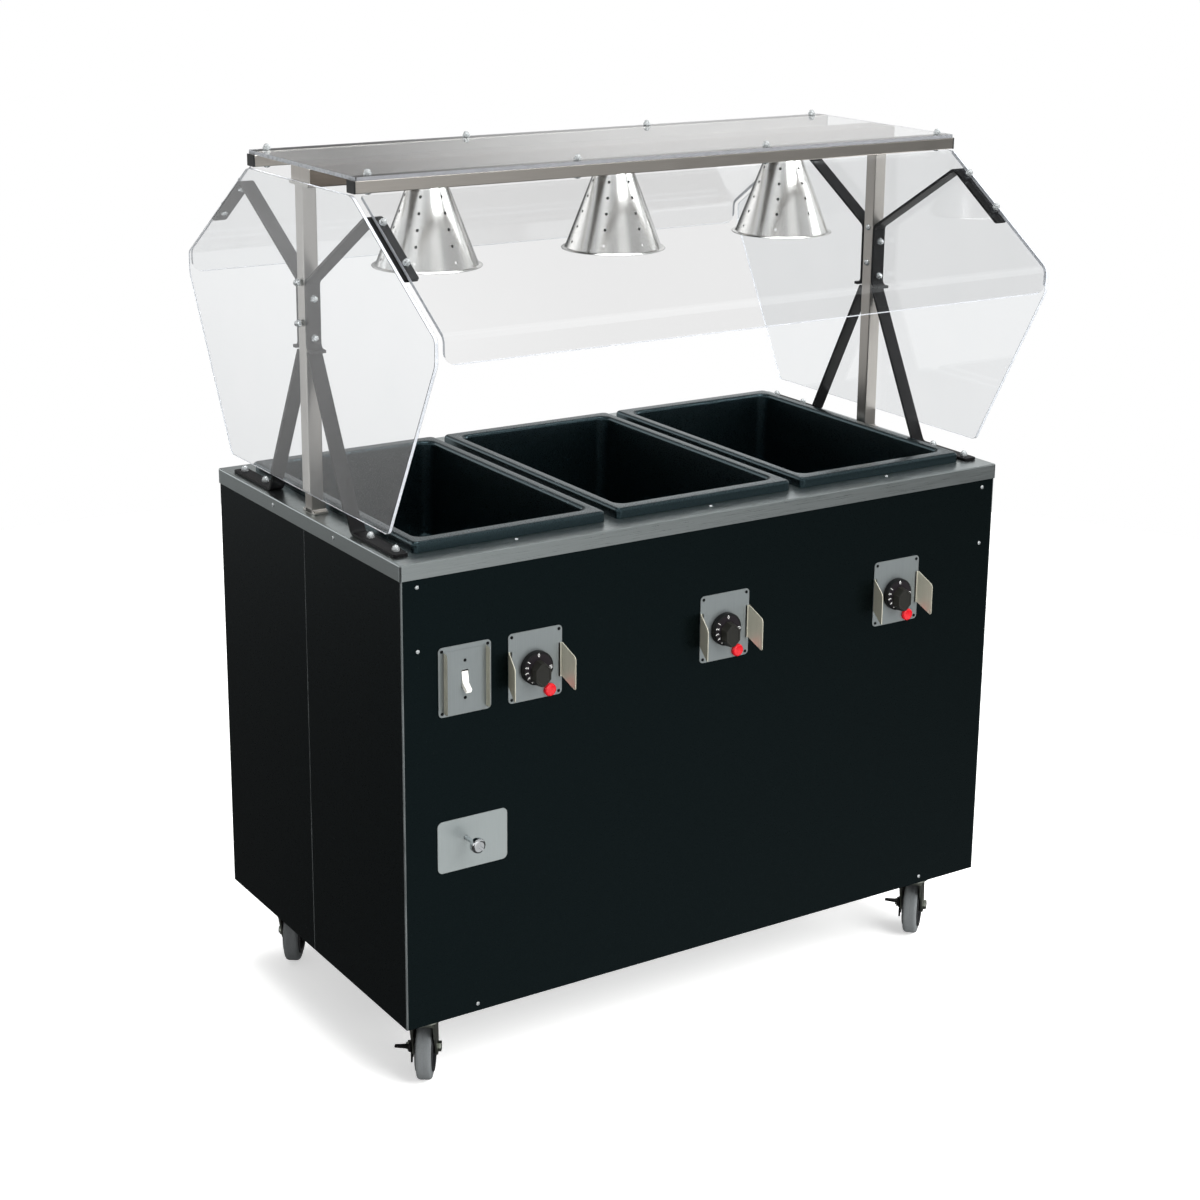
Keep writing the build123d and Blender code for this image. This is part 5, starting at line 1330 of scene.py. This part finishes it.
def endPanel(side):
    spec = sheetSpec
    x, half = side * spec["endX"], spec["gauge"] / 2
    outline = list(reversed(spec["endOutline"]))
    startHalf, startZ = outline[0]
    nextHalf, nextZ = outline[1]
    sheet = block("endPanel", (x - half, -startHalf, startZ), (x + half, startHalf, nextZ))
    edit(sheet)
    pick("FACE", lambda at, facing: facing.z > 0.9)
    bpy.ops.transform.resize(value=(1, nextHalf / startHalf, 1), center_override=(x * mm, 0, nextZ * mm))
    widthNow, heightNow = nextHalf, nextZ
    for goalHalf, goalZ in outline[2:]:
        bpy.ops.mesh.extrude_region_move(TRANSFORM_OT_translate={"value": (0, 0, (goalZ - heightNow) * mm)})
        bpy.ops.transform.resize(value=(1, goalHalf / widthNow, 1), center_override=(x * mm, 0, goalZ * mm))
        widthNow, heightNow = goalHalf, goalZ
    corners = set(outline)
    pick("EDGE", lambda at, facing: abs(facing.x) > 0.9 and any(
        near(abs(at.y), width) and near(at.z, height) for width, height in corners))
    bpy.ops.mesh.bevel(offset=spec["endRound"] * mm, segments=6, affect="EDGES")
    leave()
    return polished(sheet)


def slopePanel():
    spec = sheetSpec
    middle = shifted(spec["slopeLine"], spec["gauge"] / 2)
    low = middle[-1][2]

    def roundEnds():
        pick("VERT", lambda at, facing: near(at.z, low))
        bpy.ops.mesh.bevel(offset=spec["slopeRound"] * mm, segments=8, affect="VERTICES")

    width, bend = 2 * spec["slopeHalf"], spec["slopeBend"]
    sheet = folded("slopePanel", middle, width, spec["gauge"], bend, (1, 0, 0), roundEnds)
    return polished(sheet)


def edgeBand(sheet, name, edge):
    # a thin skin on the faces that edge picks, to carry the painted light on the edges (darker on the shelf's
    # long edges); the polished corners beside it stay clear
    band = copyOf(sheet, name)
    edit(band)
    pick("FACE", lambda at, facing: not edge(at, facing))
    bpy.ops.mesh.delete(type="FACE")
    leave()
    return smooth(thicken(band, sheetSpec["skin"]), 20)


def shelfEdge(at, facing):
    return abs(facing.x) > 0.9


def shelfLongEdge(at, facing):
    return abs(facing.y) > 0.9


def endEdge(at, facing):
    return abs(facing.x) < 0.05


def slopeEdge(at, facing):
    return abs(facing.x) > 0.9 or (facing.z < -0.9 and at.z < sheetSpec["slopeLine"][-1][2] + 1)


halfLength, halfDepth, under, corner = sheetSpec["shelf"]
shelf = sheetPlate("shelfSheet", 2 * halfLength, 2 * halfDepth, corner, sheetSpec["gauge"])
put(shelf, (0, 0, under))
polished(shelf)
leftPanel, rightPanel, rearPanel = endPanel(-1), endPanel(1), slopePanel()
frontPanel = copyOf(rearPanel, "frontPanel", (0, 0, 0), (0, 0, 180))
sheets = {
    "shelfSheet": (shelf, shelfEdge, "top_sheet"),
    "leftPanel": (leftPanel, endEdge, "end_panels"),
    "rightPanel": (rightPanel, endEdge, "end_panels"),
    "rearPanel": (rearPanel, slopeEdge, "slope_panels"),
    "frontPanel": (frontPanel, slopeEdge, "slope_panels"),
}
for name, (sheet, edge, node) in sheets.items():
    sheet.name = name
    # each sheet's edges carry a pale skin of painted light
    fit(edgeBand(sheet, name + "Edge", edge), acrylicEdgePaintedLight, "table", "clear_acrylic", node)
    fit(sheet, bentAcrylic if edge is slopeEdge else acrylic, "table", "clear_acrylic", node)
# the shelf's long edges carry a darker skin: painted shade
longEdges = edgeBand(shelf, "shelfSheetLongEdges", shelfLongEdge)
fit(longEdges, edgePaintedShade, "table", "clear_acrylic", "top_sheet")
print("clear sheets made")


# brackets and legs of bent flat bar

barSpec = {
    "width": 25,
    "gauge": 5,
    "bend": 11,
    "postX": postSpec["x"],
    "postHalf": postSpec["half"],
    "flangeZ": 1178,
    "flangeLength": 21,
    "strapTop": 1290,
    "tabStart": 36,
    "tabLength": 138,
    # the tab stands this clear of the sheet, so that the two faces don't share a plane
    "tabGap": 0.3,
    "legSetOff": 1.5,
    "legSpare": 8,
    "legSpread": 150,
    "footTop": 920,
    "footLength": 140,
    "endRound": 4,
    "edge": 0.7,
    # the leg is cut off this far under the flange
    "legGap": 0.1,
}
topY, topZ = sheetSpec["slopeLine"][0][1:]
bendY, bendZ = sheetSpec["slopeLine"][1][1:]
slope = math.atan2(topZ - bendZ, bendY - topY)


def onSlope(distance, inside=0):
    y = topY + distance * math.cos(slope) - inside * math.sin(slope)
    return (y, topZ - distance * math.sin(slope) - inside * math.cos(slope))


def bracketRoute(x):
    spec = barSpec
    line = [
        (x, spec["postHalf"] + spec["flangeLength"], spec["flangeZ"]), (x, spec["postHalf"], spec["flangeZ"]),
        (x, spec["postHalf"], spec["strapTop"]), (x, *onSlope(spec["tabStart"], spec["tabGap"])),
        (x, *onSlope(spec["tabStart"] + spec["tabLength"], spec["tabGap"])),
    ]
    return shifted(line, -spec["gauge"] / 2)


def legRoute(x):
    spec = barSpec
    legTop = spec["postHalf"] + spec["gauge"] + spec["legSetOff"]
    lean = (spec["legSpread"] - legTop) / (spec["flangeZ"] - spec["footTop"])
    line = [
        (x, legTop - lean * spec["legSpare"], spec["flangeZ"] + spec["legSpare"]),
        (x, spec["legSpread"], spec["footTop"]),
        (x, spec["legSpread"] + spec["footLength"], spec["footTop"]),
    ]
    return shifted(line, -spec["gauge"] / 2)


def roundBarEnd(end):
    def shape():
        pick("VERT", lambda at, facing: near(at.y, end[1], 0.2) and near(at.z, end[2], 0.2))
        bpy.ops.mesh.bevel(offset=barSpec["endRound"] * mm, segments=4, affect="VERTICES")

    return shape


brackets, legs = [], []
width, gauge, bend = barSpec["width"], barSpec["gauge"], barSpec["bend"]
for sx in (-1, 1):
    x = sx * barSpec["postX"]
    for routeOf, made in ((bracketRoute, brackets), (legRoute, legs)):
        route = routeOf(x)
        bar = folded("bar", route, width, gauge, bend, (1, 0, 0), roundBarEnd(route[-1]))
        if made is legs:
            edit(bar)
            bpy.ops.mesh.select_all(action="SELECT")
            cut = (0, 0, (barSpec["flangeZ"] - barSpec["legGap"]) * mm)
            bpy.ops.mesh.bisect(plane_co=cut, plane_no=(0, 0, 1), use_fill=True, clear_outer=True)
            leave()
        soften(bar, barSpec["edge"], 2, 50)
        made += [bar, copyOf(bar, "bar", (0, 0, 0), (0, 0, 180))]
fit(smooth(joined("upperBrackets", brackets)), powder, "table", "black_bar", "upper_brackets")
fit(smooth(joined("lowerLegs", legs)), powder, "table", "black_bar", "lower_legs")
print("brackets and legs made")


# acorn bolts

acornSpec = {
    # radius, foot, head and chamfer
    "hex": (6.2, 0.02, 4.5, 0.6),
    "dome": [(4.9, 4.2), (5, 5), (4.7, 6.6), (4, 8), (2.8, 9), (1.4, 9.5), (0, 9.6)],
    "head": [(0, -0.3), (5.2, -0.3), (5.5, 0), (5.4, 1.6), (4.4, 2.9), (2.4, 3.5), (0, 3.5)],
    "shelfX": (-546.7, -182, 182, 546.7),
    "strapZ": (1262, 1200),
    "endZ": (1286, 1222),
    "tabAt": (26, 112),
    "footY": (190, 272),
}


def makeAcorn():
    nut = hexHead("nut", *acornSpec["hex"])
    dome = turned("dome", acornSpec["dome"], 28)
    return smooth(joined("acornModel", [nut, dome]), 40)


acornModel = makeAcorn()
headModel = smooth(turned("headModel", acornSpec["head"], 28))
nuts, heads = [], []
spec = acornSpec
tilt = math.degrees(slope)
shelfTop = under + sheetSpec["gauge"]
for x in spec["shelfX"]:
    for sy in (-1, 1):
        nuts.append(((x, sy * railSpec["y"], shelfTop), "up"))
        heads.append(((x, sy * railSpec["y"], railSpec["low"]), "down"))
for sx in (-1, 1):
    x = sx * barSpec["postX"]
    face, back = ("right", "left") if sx > 0 else ("left", "right")
    strapFace = barSpec["postHalf"] + barSpec["gauge"]
    for z in spec["strapZ"]:
        nuts.append(((x, -strapFace, z), "front"))
        heads.append(((x, strapFace, z), "rear"))
    for z in spec["endZ"]:
        nuts.append(((sx * (sheetSpec["endX"] + sheetSpec["gauge"] / 2), 0, z), face))
        heads.append(((sx * (barSpec["postX"] - barSpec["postHalf"]), 0, z), back))
    for sy in (-1, 1):
        for y in spec["footY"]:
            nuts.append(((x, sy * y, barSpec["footTop"]), "up"))
        for offset in spec["tabAt"]:
            y, z = onSlope(barSpec["tabStart"] + offset)
            outY, outZ = math.sin(slope), math.cos(slope)
            sheet, bar = sheetSpec["gauge"], barSpec["gauge"]
            nuts.append(((x, sy * (y + outY * sheet), z + outZ * sheet), (-sy * tilt, 0, 0)))
            heads.append(((x, sy * (y - outY * bar), z - outZ * bar), (180 - sy * tilt, 0, 0)))
fasteners = [copyOf(acornModel, "nut", place, facing) for place, facing in nuts]
fasteners += [copyOf(headModel, "head", place, facing) for place, facing in heads]
drop(acornModel)
drop(headModel)
fit(joined("acornBolts", fasteners), brightZinc, "table", "zinc_plate", "guard_bolts")
print("acorn bolts made:", len(nuts))


# heat lamps

lampSpec = {
    "xs": {"left": -352, "center": 0, "right": 352},
    # radius and height above the rim's lowest edge, outside up, then inside down
    "shade": [
        (87, 0), (87.5, 0.7), (86.8, 1.5), (82.4, 1.9), (81, 2.6), (80, 5), (29.2, 138.6), (28.2, 140.6),
        (26.2, 141.8), (8, 142), (8, 140.8), (25.8, 140.6), (27, 139.8), (28, 138), (78.9, 4.4), (80.2, 1.6),
        (81.8, 0.6), (87, 0),
    ],
    # the long slopes are divided above and below each row of holes
    "slopes": [((80, 5), (29.2, 138.6)), ((28, 138), (78.9, 4.4))],
    "rowHalf": 5,
    "shadeLow": 1294,
    "holeRadius": 2.4,
    "holeRows": [14, 39, 64, 89, 114],
    "holeColumns": 7,
    "holeTurn": -135,
    # the holes are punched by pins between these radii
    "pinEnds": (15, 100),
    "socket": [
        (0, 1434.6), (17.5, 1434.6), (19, 1433), (19, 1424), (17.6, 1423), (17.6, 1421), (19, 1420),
        (19, 1396), (17.8, 1393.2), (14.2, 1392.8), (14, 1418), (0, 1418.6),
    ],
    "bulb": [
        (0, 1417.5), (12.6, 1417), (13, 1415), (13, 1386), (15, 1382), (21, 1374), (34, 1356), (46, 1341),
        (52.4, 1332), (54.6, 1327.6), (55, 1323.6), (54, 1319), (51, 1315.2), (46, 1313.2), (30, 1312.9),
        (0, 1312.8),
    ],
}


def shadeProfile():
    spec = lampSpec
    levels = sorted(row + side * spec["rowHalf"] for row in spec["holeRows"] for side in (-1, 1))
    profile = []
    for start, end in zip(spec["shade"], spec["shade"][1:] + [None]):
        profile.append(start)
        if (start, end) in spec["slopes"]:
            (startRadius, startZ), (endRadius, endZ) = start, end
            for z in levels if endZ > startZ else reversed(levels):
                profile.append((startRadius + (endRadius - startRadius) * (z - startZ) / (endZ - startZ), z))
    return [(radius, z + spec["shadeLow"]) for radius, z in profile]


shadeModel = turned("shadeModel", shadeProfile(), 96, closed=True)
pins = []
for row in lampSpec["holeRows"]:
    for column in range(lampSpec["holeColumns"]):
        swing = math.radians(lampSpec["holeTurn"] + column * 360 / lampSpec["holeColumns"])
        z = lampSpec["shadeLow"] + row
        start, end = ((reach * math.cos(swing), reach * math.sin(swing), z) for reach in lampSpec["pinEnds"])
        pins.append(rod("pin", lampSpec["holeRadius"], start, end, 14))
combine(shadeModel, joined("pins", pins), "DIFFERENCE")
smooth(shadeModel, 40)
socketModel = smooth(turned("socketModel", lampSpec["socket"], 48))
bulbModel = smooth(turned("bulbModel", lampSpec["bulb"], 64), 50)
for side, x in lampSpec["xs"].items():
    shade = copyOf(shadeModel, "shade" + side.title(), (x, 0, 0))
    fit(shade, aluminium, "table", "spun_aluminium", "lamp_shade_" + side)
    # painted shade on the shade's inward faces
    paint(shade, aluminiumPaintedShade, lambda at, facing: facing.x * (at.x - x) + facing.y * at.y < -1)
sockets = [copyOf(socketModel, "socket", (x, 0, 0)) for x in lampSpec["xs"].values()]
bulbs = [copyOf(bulbModel, "bulb", (x, 0, 0)) for x in lampSpec["xs"].values()]
for model in (shadeModel, socketModel, bulbModel):
    drop(model)
fit(joined("lampSockets", sockets), porcelain, "table", "ceramic", "lamp_sockets")
fit(joined("heatBulbs", bulbs), lampGlass, "table", "bulb_glass", "bulbs")
print("lamps made")


# power inlet on the rear

inletSpec = {
    "x": 430,
    "y": -controlSpec["wrapFace"],
    "z": 235,
    "flange": 66,
    "corner": 8,
    "depth": 4,
    "edge": 0.8,
    "cup": [
        (24, 4.1), (26, 4.1), (28.5, 4), (28.5, 3), (27, 3), (27, -34), (0, -34), (0, -31), (24, -31),
        (24, 4.1),
    ],
    "mouthCut": (-10, 20),
    "blades": 3,
    "bladeTurn": 90,
    "bladeEdge": 0.4,
    # thickness, width, distance from the middle, low and high
    "blade": (1.6, 7, 12, -32, -13),
}
breadth, mouth = inletSpec["flange"], inletSpec["cup"][0][0]
flange = sheetPlate("flange", breadth, breadth, inletSpec["corner"], inletSpec["depth"])
start, end = ((0, 0, z) for z in inletSpec["mouthCut"])
combine(flange, rod("mouth", mouth, start, end, 56), "DIFFERENCE")
soften(flange, inletSpec["edge"], 3, 50)
cup = turned("cup", inletSpec["cup"], 56, closed=True)
thick, wide, circle, low, high = inletSpec["blade"]
blades = []
for index in range(inletSpec["blades"]):
    blade = block("blade", (circle - thick / 2, -wide / 2, low), (circle + thick / 2, wide / 2, high))
    turn = inletSpec["bladeTurn"] + 360 * index / inletSpec["blades"]
    blades.append(spin(soften(blade, inletSpec["bladeEdge"]), turn))
place = (inletSpec["x"], inletSpec["y"], inletSpec["z"])
inlet = smooth(joined("powerInlet", [flange, cup]))
fit(put(inlet, place, "rear"), blackPlastic, "table", "black_plastic", "power_inlet")
fit(put(smooth(joined("inletBlades", blades)), place, "rear"), brass, "table", "brass")
print("power inlet made")


# painted highlight strips on the folds and along the seams of the two wraps, drawn as grey enamel

highlightStripSpec = {
    "halfX": 582,
    "halfY": -controlSpec["wrapFace"],
    "round": 2,
    "low": 154.5,
    "high": 889.5,
    "lap": 0.4,
    "skin": 0.1,
    "lift": 0.08,
    # how far the seam's strip lies from the middle, and its rounding
    "seam": (0.4, 1.1),
    "seamEdge": 0.02,
}
highlightStrips = []
spec = highlightStripSpec
tall, middle = spec["high"] - spec["low"], (spec["high"] + spec["low"]) / 2
for sx in (-1, 1):
    x = sx * (spec["halfX"] + spec["lift"])
    for sy in (-1, 1):
        y, reach = sy * (spec["halfY"] + spec["lift"]), spec["round"] + spec["lap"]
        route = [(x, y - sy * reach, middle), (x, y, middle), (x - sx * reach, y, middle)]
        highlightStrips.append(folded("fold", route, tall, spec["skin"], spec["round"], (0, 0, 1)))
        inside, outside = sorted(sy * edge for edge in spec["seam"])
        half = spec["skin"] / 2
        seam = block("seam", (x - half, inside, spec["low"]), (x + half, outside, spec["high"]))
        highlightStrips.append(soften(seam, spec["seamEdge"], 1))
fit(smooth(joined("enamelPaintedHighlightStrips", highlightStrips)), enamelPaintedHighlight, "table", "black_enamel")
print("wear made")


# the CAD's own sheets and inner pieces keep their shapes and take these finishes

finishes = {
    "countertop": stainlessX,
    "front_wrap": enamel,
    "rear_wrap": enamel,
    "base_pan": galvanised,
    "corner_uprights": galvanised,
    "heater_housings": galvanised,
    "heater_elements": sheath,
    "drain_manifold": brass,
    "drain_valve": brass,
    "thermostats": blackPlastic,
    "switch_body": blackPlastic,
}
for name, look in finishes.items():
    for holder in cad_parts[name].material_slots:
        holder.material = look
print("finishes set on", len(finishes), "CAD nodes")


# floor, light and camera

stageSpec = {
    # radius in metres; the white backdrop shows beyond it
    "floor": 3.2,
    "floorTint": ("#f3f3f2", "#f8f8f7"),
    # how much the floor is lifted for the lens, and for the lens through the clear sheets
    "floorLift": (0.5, 0.1),
    # the fill: brightest towards this direction, darkest away from it
    "fillWay": (0.65, -0.6, 0.45),
    "fillRange": (0.1, 0.95),
    # what shiny surfaces see: a dim room with soft panels
    "glossBase": 0.06,
    # turn from +X and height in degrees, half angles of the bright middle and of the soft edge, level
    "panels": [
        (121, 4, 13, 22, 0.8),
        (145, -18, 6, 16, 0.6),
        (-76, -8, 8, 19, 1.05),
        (-56, -32, 9, 21, 0.55),
        (-30, 55, 8, 24, 0.7),
        (48, 6, 7, 16, 0.65),
        (57, 20, 6, 13, 0.65),
        (0, 90, 24, 34, 0.7),
    ],
    # upright strips of light all round, above the horizon: turn from +X in degrees and level
    "strips": [
        (-180, 0.65), (-169, 0.65), (-165, 1.15), (-141, 1.15), (-136, 0.72), (-112, 0.72), (-107, 1.2),
        (-83, 1.2), (-77, 0.55), (-14, 0.55), (-7, 1.15), (24, 1.15), (32, 0.2), (90, 0.2), (98, 0.82),
        (155, 0.82), (162, 0.65), (180, 0.65),
    ],
    # the strips' foot and head, as slopes of the ray
    "stripFoot": (0.02, 0.1),
    "stripHead": (0.55, 0.7),
    # through the clear sheets the sky is white up to this slope, then what shiny surfaces see
    "whiteUpTo": (0.1, 0.2),
    # place, target and size in metres, power in watts; shiny surfaces don't mirror these
    "lights": {
        "keyLight": ((1.0, -4.8, 3.8), (0, 0, 0.8), 3.2, 300),
        "topLight": ((0.2, -0.4, 5.2), (0, 0, 0.9), 4.0, 260),
        "rightLight": ((4.2, -2.2, 2.6), (0, 0, 0.9), 2.6, 90),
    },
}
cameraSpec = {
    "place": (-2.0972, -3.2211, 1.9255),
    "yaw": 0.57246,
    "pitch": 0.2741,
    "roll": 0.00949,
    "lens": 69.3,
    "sensor": 36,
    "shiftY": -0.079,
    "clipEnd": 200,
}

deselectAll()
bpy.ops.mesh.primitive_circle_add(
    vertices=96, radius=stageSpec["floor"], fill_type="NGON", location=(0, 0, 0)
)
floor = bpy.context.object
floor.name = "floor"
floorLook = grainLook(
    "paleStudioFloor", *stageSpec["floorTint"], (0.85, 0.95), (400, 400, 400), 0.0, 0.0,
    Specular_IOR_Level=0.0,
)
floor.data.materials.append(floorLook)
floor.visible_glossy = False
# the lens sees the floor lifted to white, so that only its shadow shows
ground = floorLook.node_tree
eye = addNode(ground, "LightPath")
direct, through = stageSpec["floorLift"]
looks = addNode(ground, "Math", {1: direct}, {0: eye.outputs["Is Camera Ray"]}, operation="MULTIPLY")
rays = {0: eye.outputs["Is Transmission Ray"], 2: looks.outputs[0]}
peers = addNode(ground, "Math", {1: through}, rays, operation="MULTIPLY_ADD")
ground.links.new(peers.outputs[0], ground.nodes["Principled BSDF"].inputs["Emission Strength"])
ground.nodes["Principled BSDF"].inputs["Emission Color"].default_value = (1, 1, 1, 1)

world = bpy.data.worlds.new("studio")
bpy.context.scene.world = world
world.use_nodes = True
sky = world.node_tree
path = addNode(sky, "LightPath")
way = addNode(sky, "TexCoord")


def along(direction, nearest, furthest, low, high, blend):
    # a level that runs from low to high as a ray's way comes nearer to a direction
    goal = {1: Vector(direction).normalized()}
    lean = addNode(sky, "VectorMath", goal, {0: way.outputs["Generated"]}, operation="DOT_PRODUCT")
    ends = {"From Min": furthest, "From Max": nearest, "To Min": low, "To Max": high}
    level = addNode(sky, "MapRange", ends, {"Value": lean.outputs["Value"]}, interpolation_type=blend)
    return level.outputs["Result"]


# matt surfaces see the fill, shiny ones the panels and the strips, and the lens plain white
fill = along(stageSpec["fillWay"], 1.0, -1.0, *stageSpec["fillRange"], "LINEAR")
gloss = addNode(sky, "Value")
gloss.outputs[0].default_value = stageSpec["glossBase"]
shine = gloss.outputs[0]
for turn, height, inner, outer, level in stageSpec["panels"]:
    turn, height = math.radians(turn), math.radians(height)
    middle = (math.cos(turn) * math.cos(height), math.sin(turn) * math.cos(height), math.sin(height))
    nearest, furthest = math.cos(math.radians(inner)), math.cos(math.radians(outer))
    glow = along(middle, nearest, furthest, 0.0, level, "SMOOTHSTEP")
    shine = addNode(sky, "Math", {}, {0: shine, 1: glow}, operation="ADD").outputs[0]
# the ring of strips, faded out at its foot and head
axes = addNode(sky, "SeparateXYZ", {}, {0: way.outputs["Generated"]})
turn = addNode(sky, "Math", {}, {0: axes.outputs["Y"], 1: axes.outputs["X"]}, operation="ARCTAN2")
compass = addNode(sky, "MapRange", {"From Min": -math.pi, "From Max": math.pi}, {"Value": turn.outputs[0]})
ring = addNode(sky, "ValToRGB", {}, {0: compass.outputs["Result"]})
stops = ring.color_ramp.elements
for index, (degrees, level) in enumerate(stageSpec["strips"]):
    at = degrees / 360 + 0.5
    stop = stops[0] if index == 0 else stops.new(at)
    stop.position = at
    stop.color = (level, level, level, 1)
# one of the two stops at the ramp's end goes
stops.remove(stops[-1])
for slopes, ends in ((stageSpec["stripFoot"], (0.0, 1.0)), (stageSpec["stripHead"], (1.0, 0.0))):
    gate = along((0, 0, 1), slopes[1], slopes[0], *ends, "SMOOTHSTEP")
    ring = addNode(sky, "Math", {}, {0: ring.outputs[0], 1: gate}, operation="MULTIPLY")
shine = addNode(sky, "Math", {}, {0: shine, 1: ring.outputs[0]}, operation="ADD").outputs[0]
# each kind of ray gets its own level
low, high = stageSpec["whiteUpTo"]
level = along((0, 0, 1), high, low, 1.0, 0.0, "LINEAR")
peer = addNode(sky, "Math", {}, {0: path.outputs["Is Transmission Ray"], 1: level}, operation="MULTIPLY")
seen = addNode(sky, "Math", {}, {0: path.outputs["Is Camera Ray"], 1: peer.outputs[0]}, operation="MAXIMUM")
rays = {0: path.outputs["Is Glossy Ray"], 1: path.outputs["Is Transmission Ray"]}
shiny = addNode(sky, "Math", {}, rays, operation="MAXIMUM")
soft = addNode(sky, "Mix", {}, {0: shiny.outputs[0], 2: fill, 3: shine})
whole = addNode(sky, "Mix", {3: 1.0}, {0: seen.outputs[0], 2: soft.outputs[0]})
sky.nodes["Background"].inputs["Color"].default_value = (1, 1, 1, 1)
sky.links.new(whole.outputs[0], sky.nodes["Background"].inputs["Strength"])

for name, (place, target, size, power) in stageSpec["lights"].items():
    deselectAll()
    bpy.ops.object.light_add(type="AREA", location=place)
    lamp = bpy.context.object
    lamp.name = name
    lamp.data.shape = "SQUARE"
    lamp.data.size = size
    lamp.data.energy = power
    lamp.rotation_euler = (Vector(target) - Vector(place)).to_track_quat("-Z", "Y").to_euler()
    lamp.visible_camera = False
    lamp.visible_glossy = False

yaw, pitch, roll = cameraSpec["yaw"], cameraSpec["pitch"], cameraSpec["roll"]
forward = Vector((math.sin(yaw) * math.cos(pitch), math.cos(yaw) * math.cos(pitch), -math.sin(pitch)))
right = Vector((math.cos(yaw), -math.sin(yaw), 0))
upward = right.cross(forward)
across = math.cos(roll) * right + math.sin(roll) * upward
above = math.cos(roll) * upward - math.sin(roll) * right
deselectAll()
bpy.ops.object.camera_add(location=cameraSpec["place"])
camera = bpy.context.object
camera.name = "camera"
camera.rotation_euler = Matrix((across, above, -forward)).transposed().to_euler()
camera.data.lens = cameraSpec["lens"]
camera.data.sensor_width = cameraSpec["sensor"]
camera.data.shift_y = cameraSpec["shiftY"]
camera.data.clip_end = cameraSpec["clipEnd"]
bpy.context.scene.camera = camera
bpy.context.scene.view_settings.view_transform = "Standard"
print("stage set")
